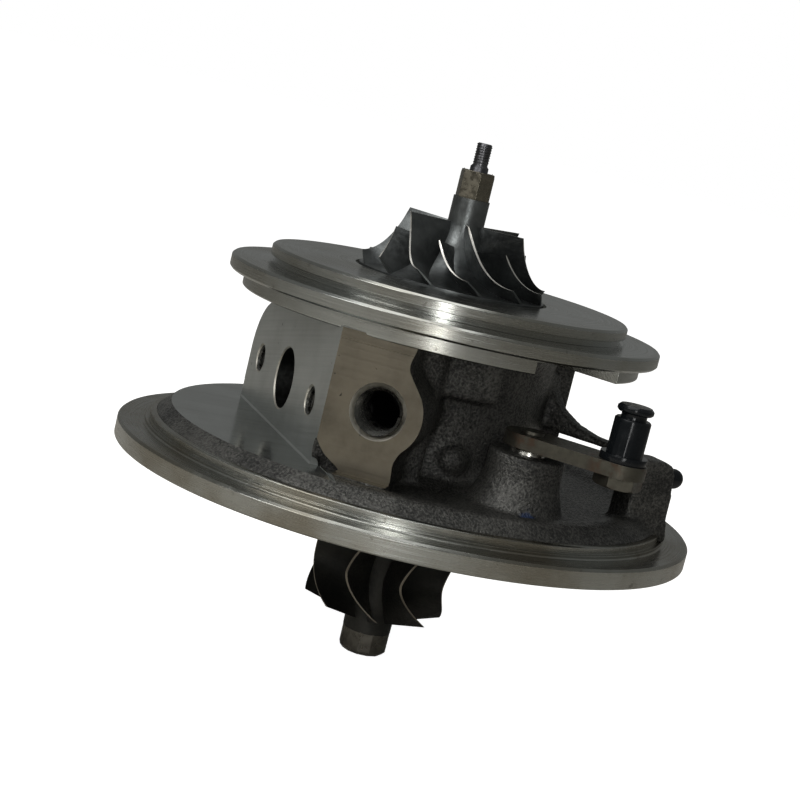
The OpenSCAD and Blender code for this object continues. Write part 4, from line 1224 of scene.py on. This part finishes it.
@dataclass
class Studio:
    """Camera, lamps, floor and background."""

    eye: Point3 = (-0.18212, -0.47444, 0.10505)
    aim: Point3 = (-0.00557, 0.00214, 0.02465)
    roll: float = 13.72
    lens: float = 84.37
    target: Point3 = (0.0, 0.0, 0.02)
    room: Colour = (0.175, 0.179, 0.175)
    floor_z: float = -0.0470
    floor_r: float = 9000.0

    def camera(self) -> None:
        """Sets the camera at the photo's view."""
        data = bpy.data.cameras.new("camera")
        data.lens, data.sensor_width, data.sensor_fit = self.lens, 36.0, "HORIZONTAL"
        data.clip_start, data.clip_end = 0.01, 20.0
        obj = bpy.data.objects.new("camera", data)
        look = Vector(self.aim) - Vector(self.eye)
        facing = look.to_track_quat("-Z", "Y").to_matrix().to_4x4()
        obj.matrix_world = Matrix.Translation(self.eye) @ facing @ spun(self.roll)
        bpy.context.scene.collection.objects.link(obj)
        bpy.context.scene.camera = obj

    def lamp(self, name: str, place: Sequence[float], size: Sequence[float], watts: float) -> None:
        """Hangs one soft box that looks at the part.

        Args:
            name: the lamp's name.
            place: where it hangs, in metres.
            size: its width and height.
            watts: its power.
        """
        data = bpy.data.lights.new(name, "AREA")
        data.shape = "RECTANGLE"
        data.size, data.size_y = size
        data.energy = watts
        obj = bpy.data.objects.new(name, data)
        obj.location = place
        obj.rotation_euler = (Vector(self.target) - Vector(place)).to_track_quat("-Z", "Y").to_euler()
        bpy.context.scene.collection.objects.link(obj)

    def background(self) -> None:
        """A white background for the camera and a dim grey room for the rest."""
        world = bpy.data.worlds.new("studio")
        world.use_nodes = True
        bpy.context.scene.world = world
        wiring = Wiring(world.node_tree)
        seen = wiring.add("ShaderNodeLightPath").outputs["Is Camera Ray"]
        fill, white = (
            wiring.add("ShaderNodeBackground", inputs={"Color": colour}).outputs[0]
            for colour in (self.room, (1.0, 1.0, 1.0))
        )
        mix = wiring.add("ShaderNodeMixShader", inputs={0: seen, 1: fill, 2: white})
        wiring.add("ShaderNodeOutputWorld", inputs={"Surface": mix.outputs[0]})

    def floor(self) -> None:
        """A plain pale floor."""
        blank = Blank()
        bmesh.ops.create_circle(blank.bm, cap_ends=True, segments=96, radius=self.floor_r)
        bmesh.ops.translate(blank.bm, vec=(0, 0, self.floor_z / MM), verts=blank.bm.verts)
        paint = Paint("pale_floor")
        seen = paint.add("ShaderNodeLightPath").outputs["Is Camera Ray"]
        glow = paint.blend(Shade(paint, seen), (0.0, 0.0, 0.0), (0.94, 0.945, 0.95))
        paint.wear(Base_Color=(0.62, 0.595, 0.55), Roughness=0.85, Emission_Color=glow, Emission_Strength=1.0)
        piece = blank.set_down("floor", [paint.material])

    def build(self) -> None:
        """Sets up the studio."""
        self.camera()
        self.background()
        self.floor()
        self.lamp("key", (-0.75, -0.35, 0.55), (0.5, 0.5), 4.4)
        self.lamp("front", (-0.34, -0.89, 0.20), (0.10, 0.5), 2.0)
        self.lamp("top", (-0.10, 0.05, 0.9), (0.6, 0.6), 2.4)
        bpy.context.scene.view_settings.view_transform = "Standard"


def main() -> None:
    """Builds every piece in order."""
    logging.basicConfig(level=logging.INFO, format="%(name)s: %(message)s")
    Studio().build()
    finishes = Finishes()
    Housing(finishes).build()
    CompressorWheel(finishes).build()
    TurbineWheel(finishes).build()
    SmallParts(finishes).build()
    bpy.context.view_layer.update()


if __name__ == "__main__":
    main()
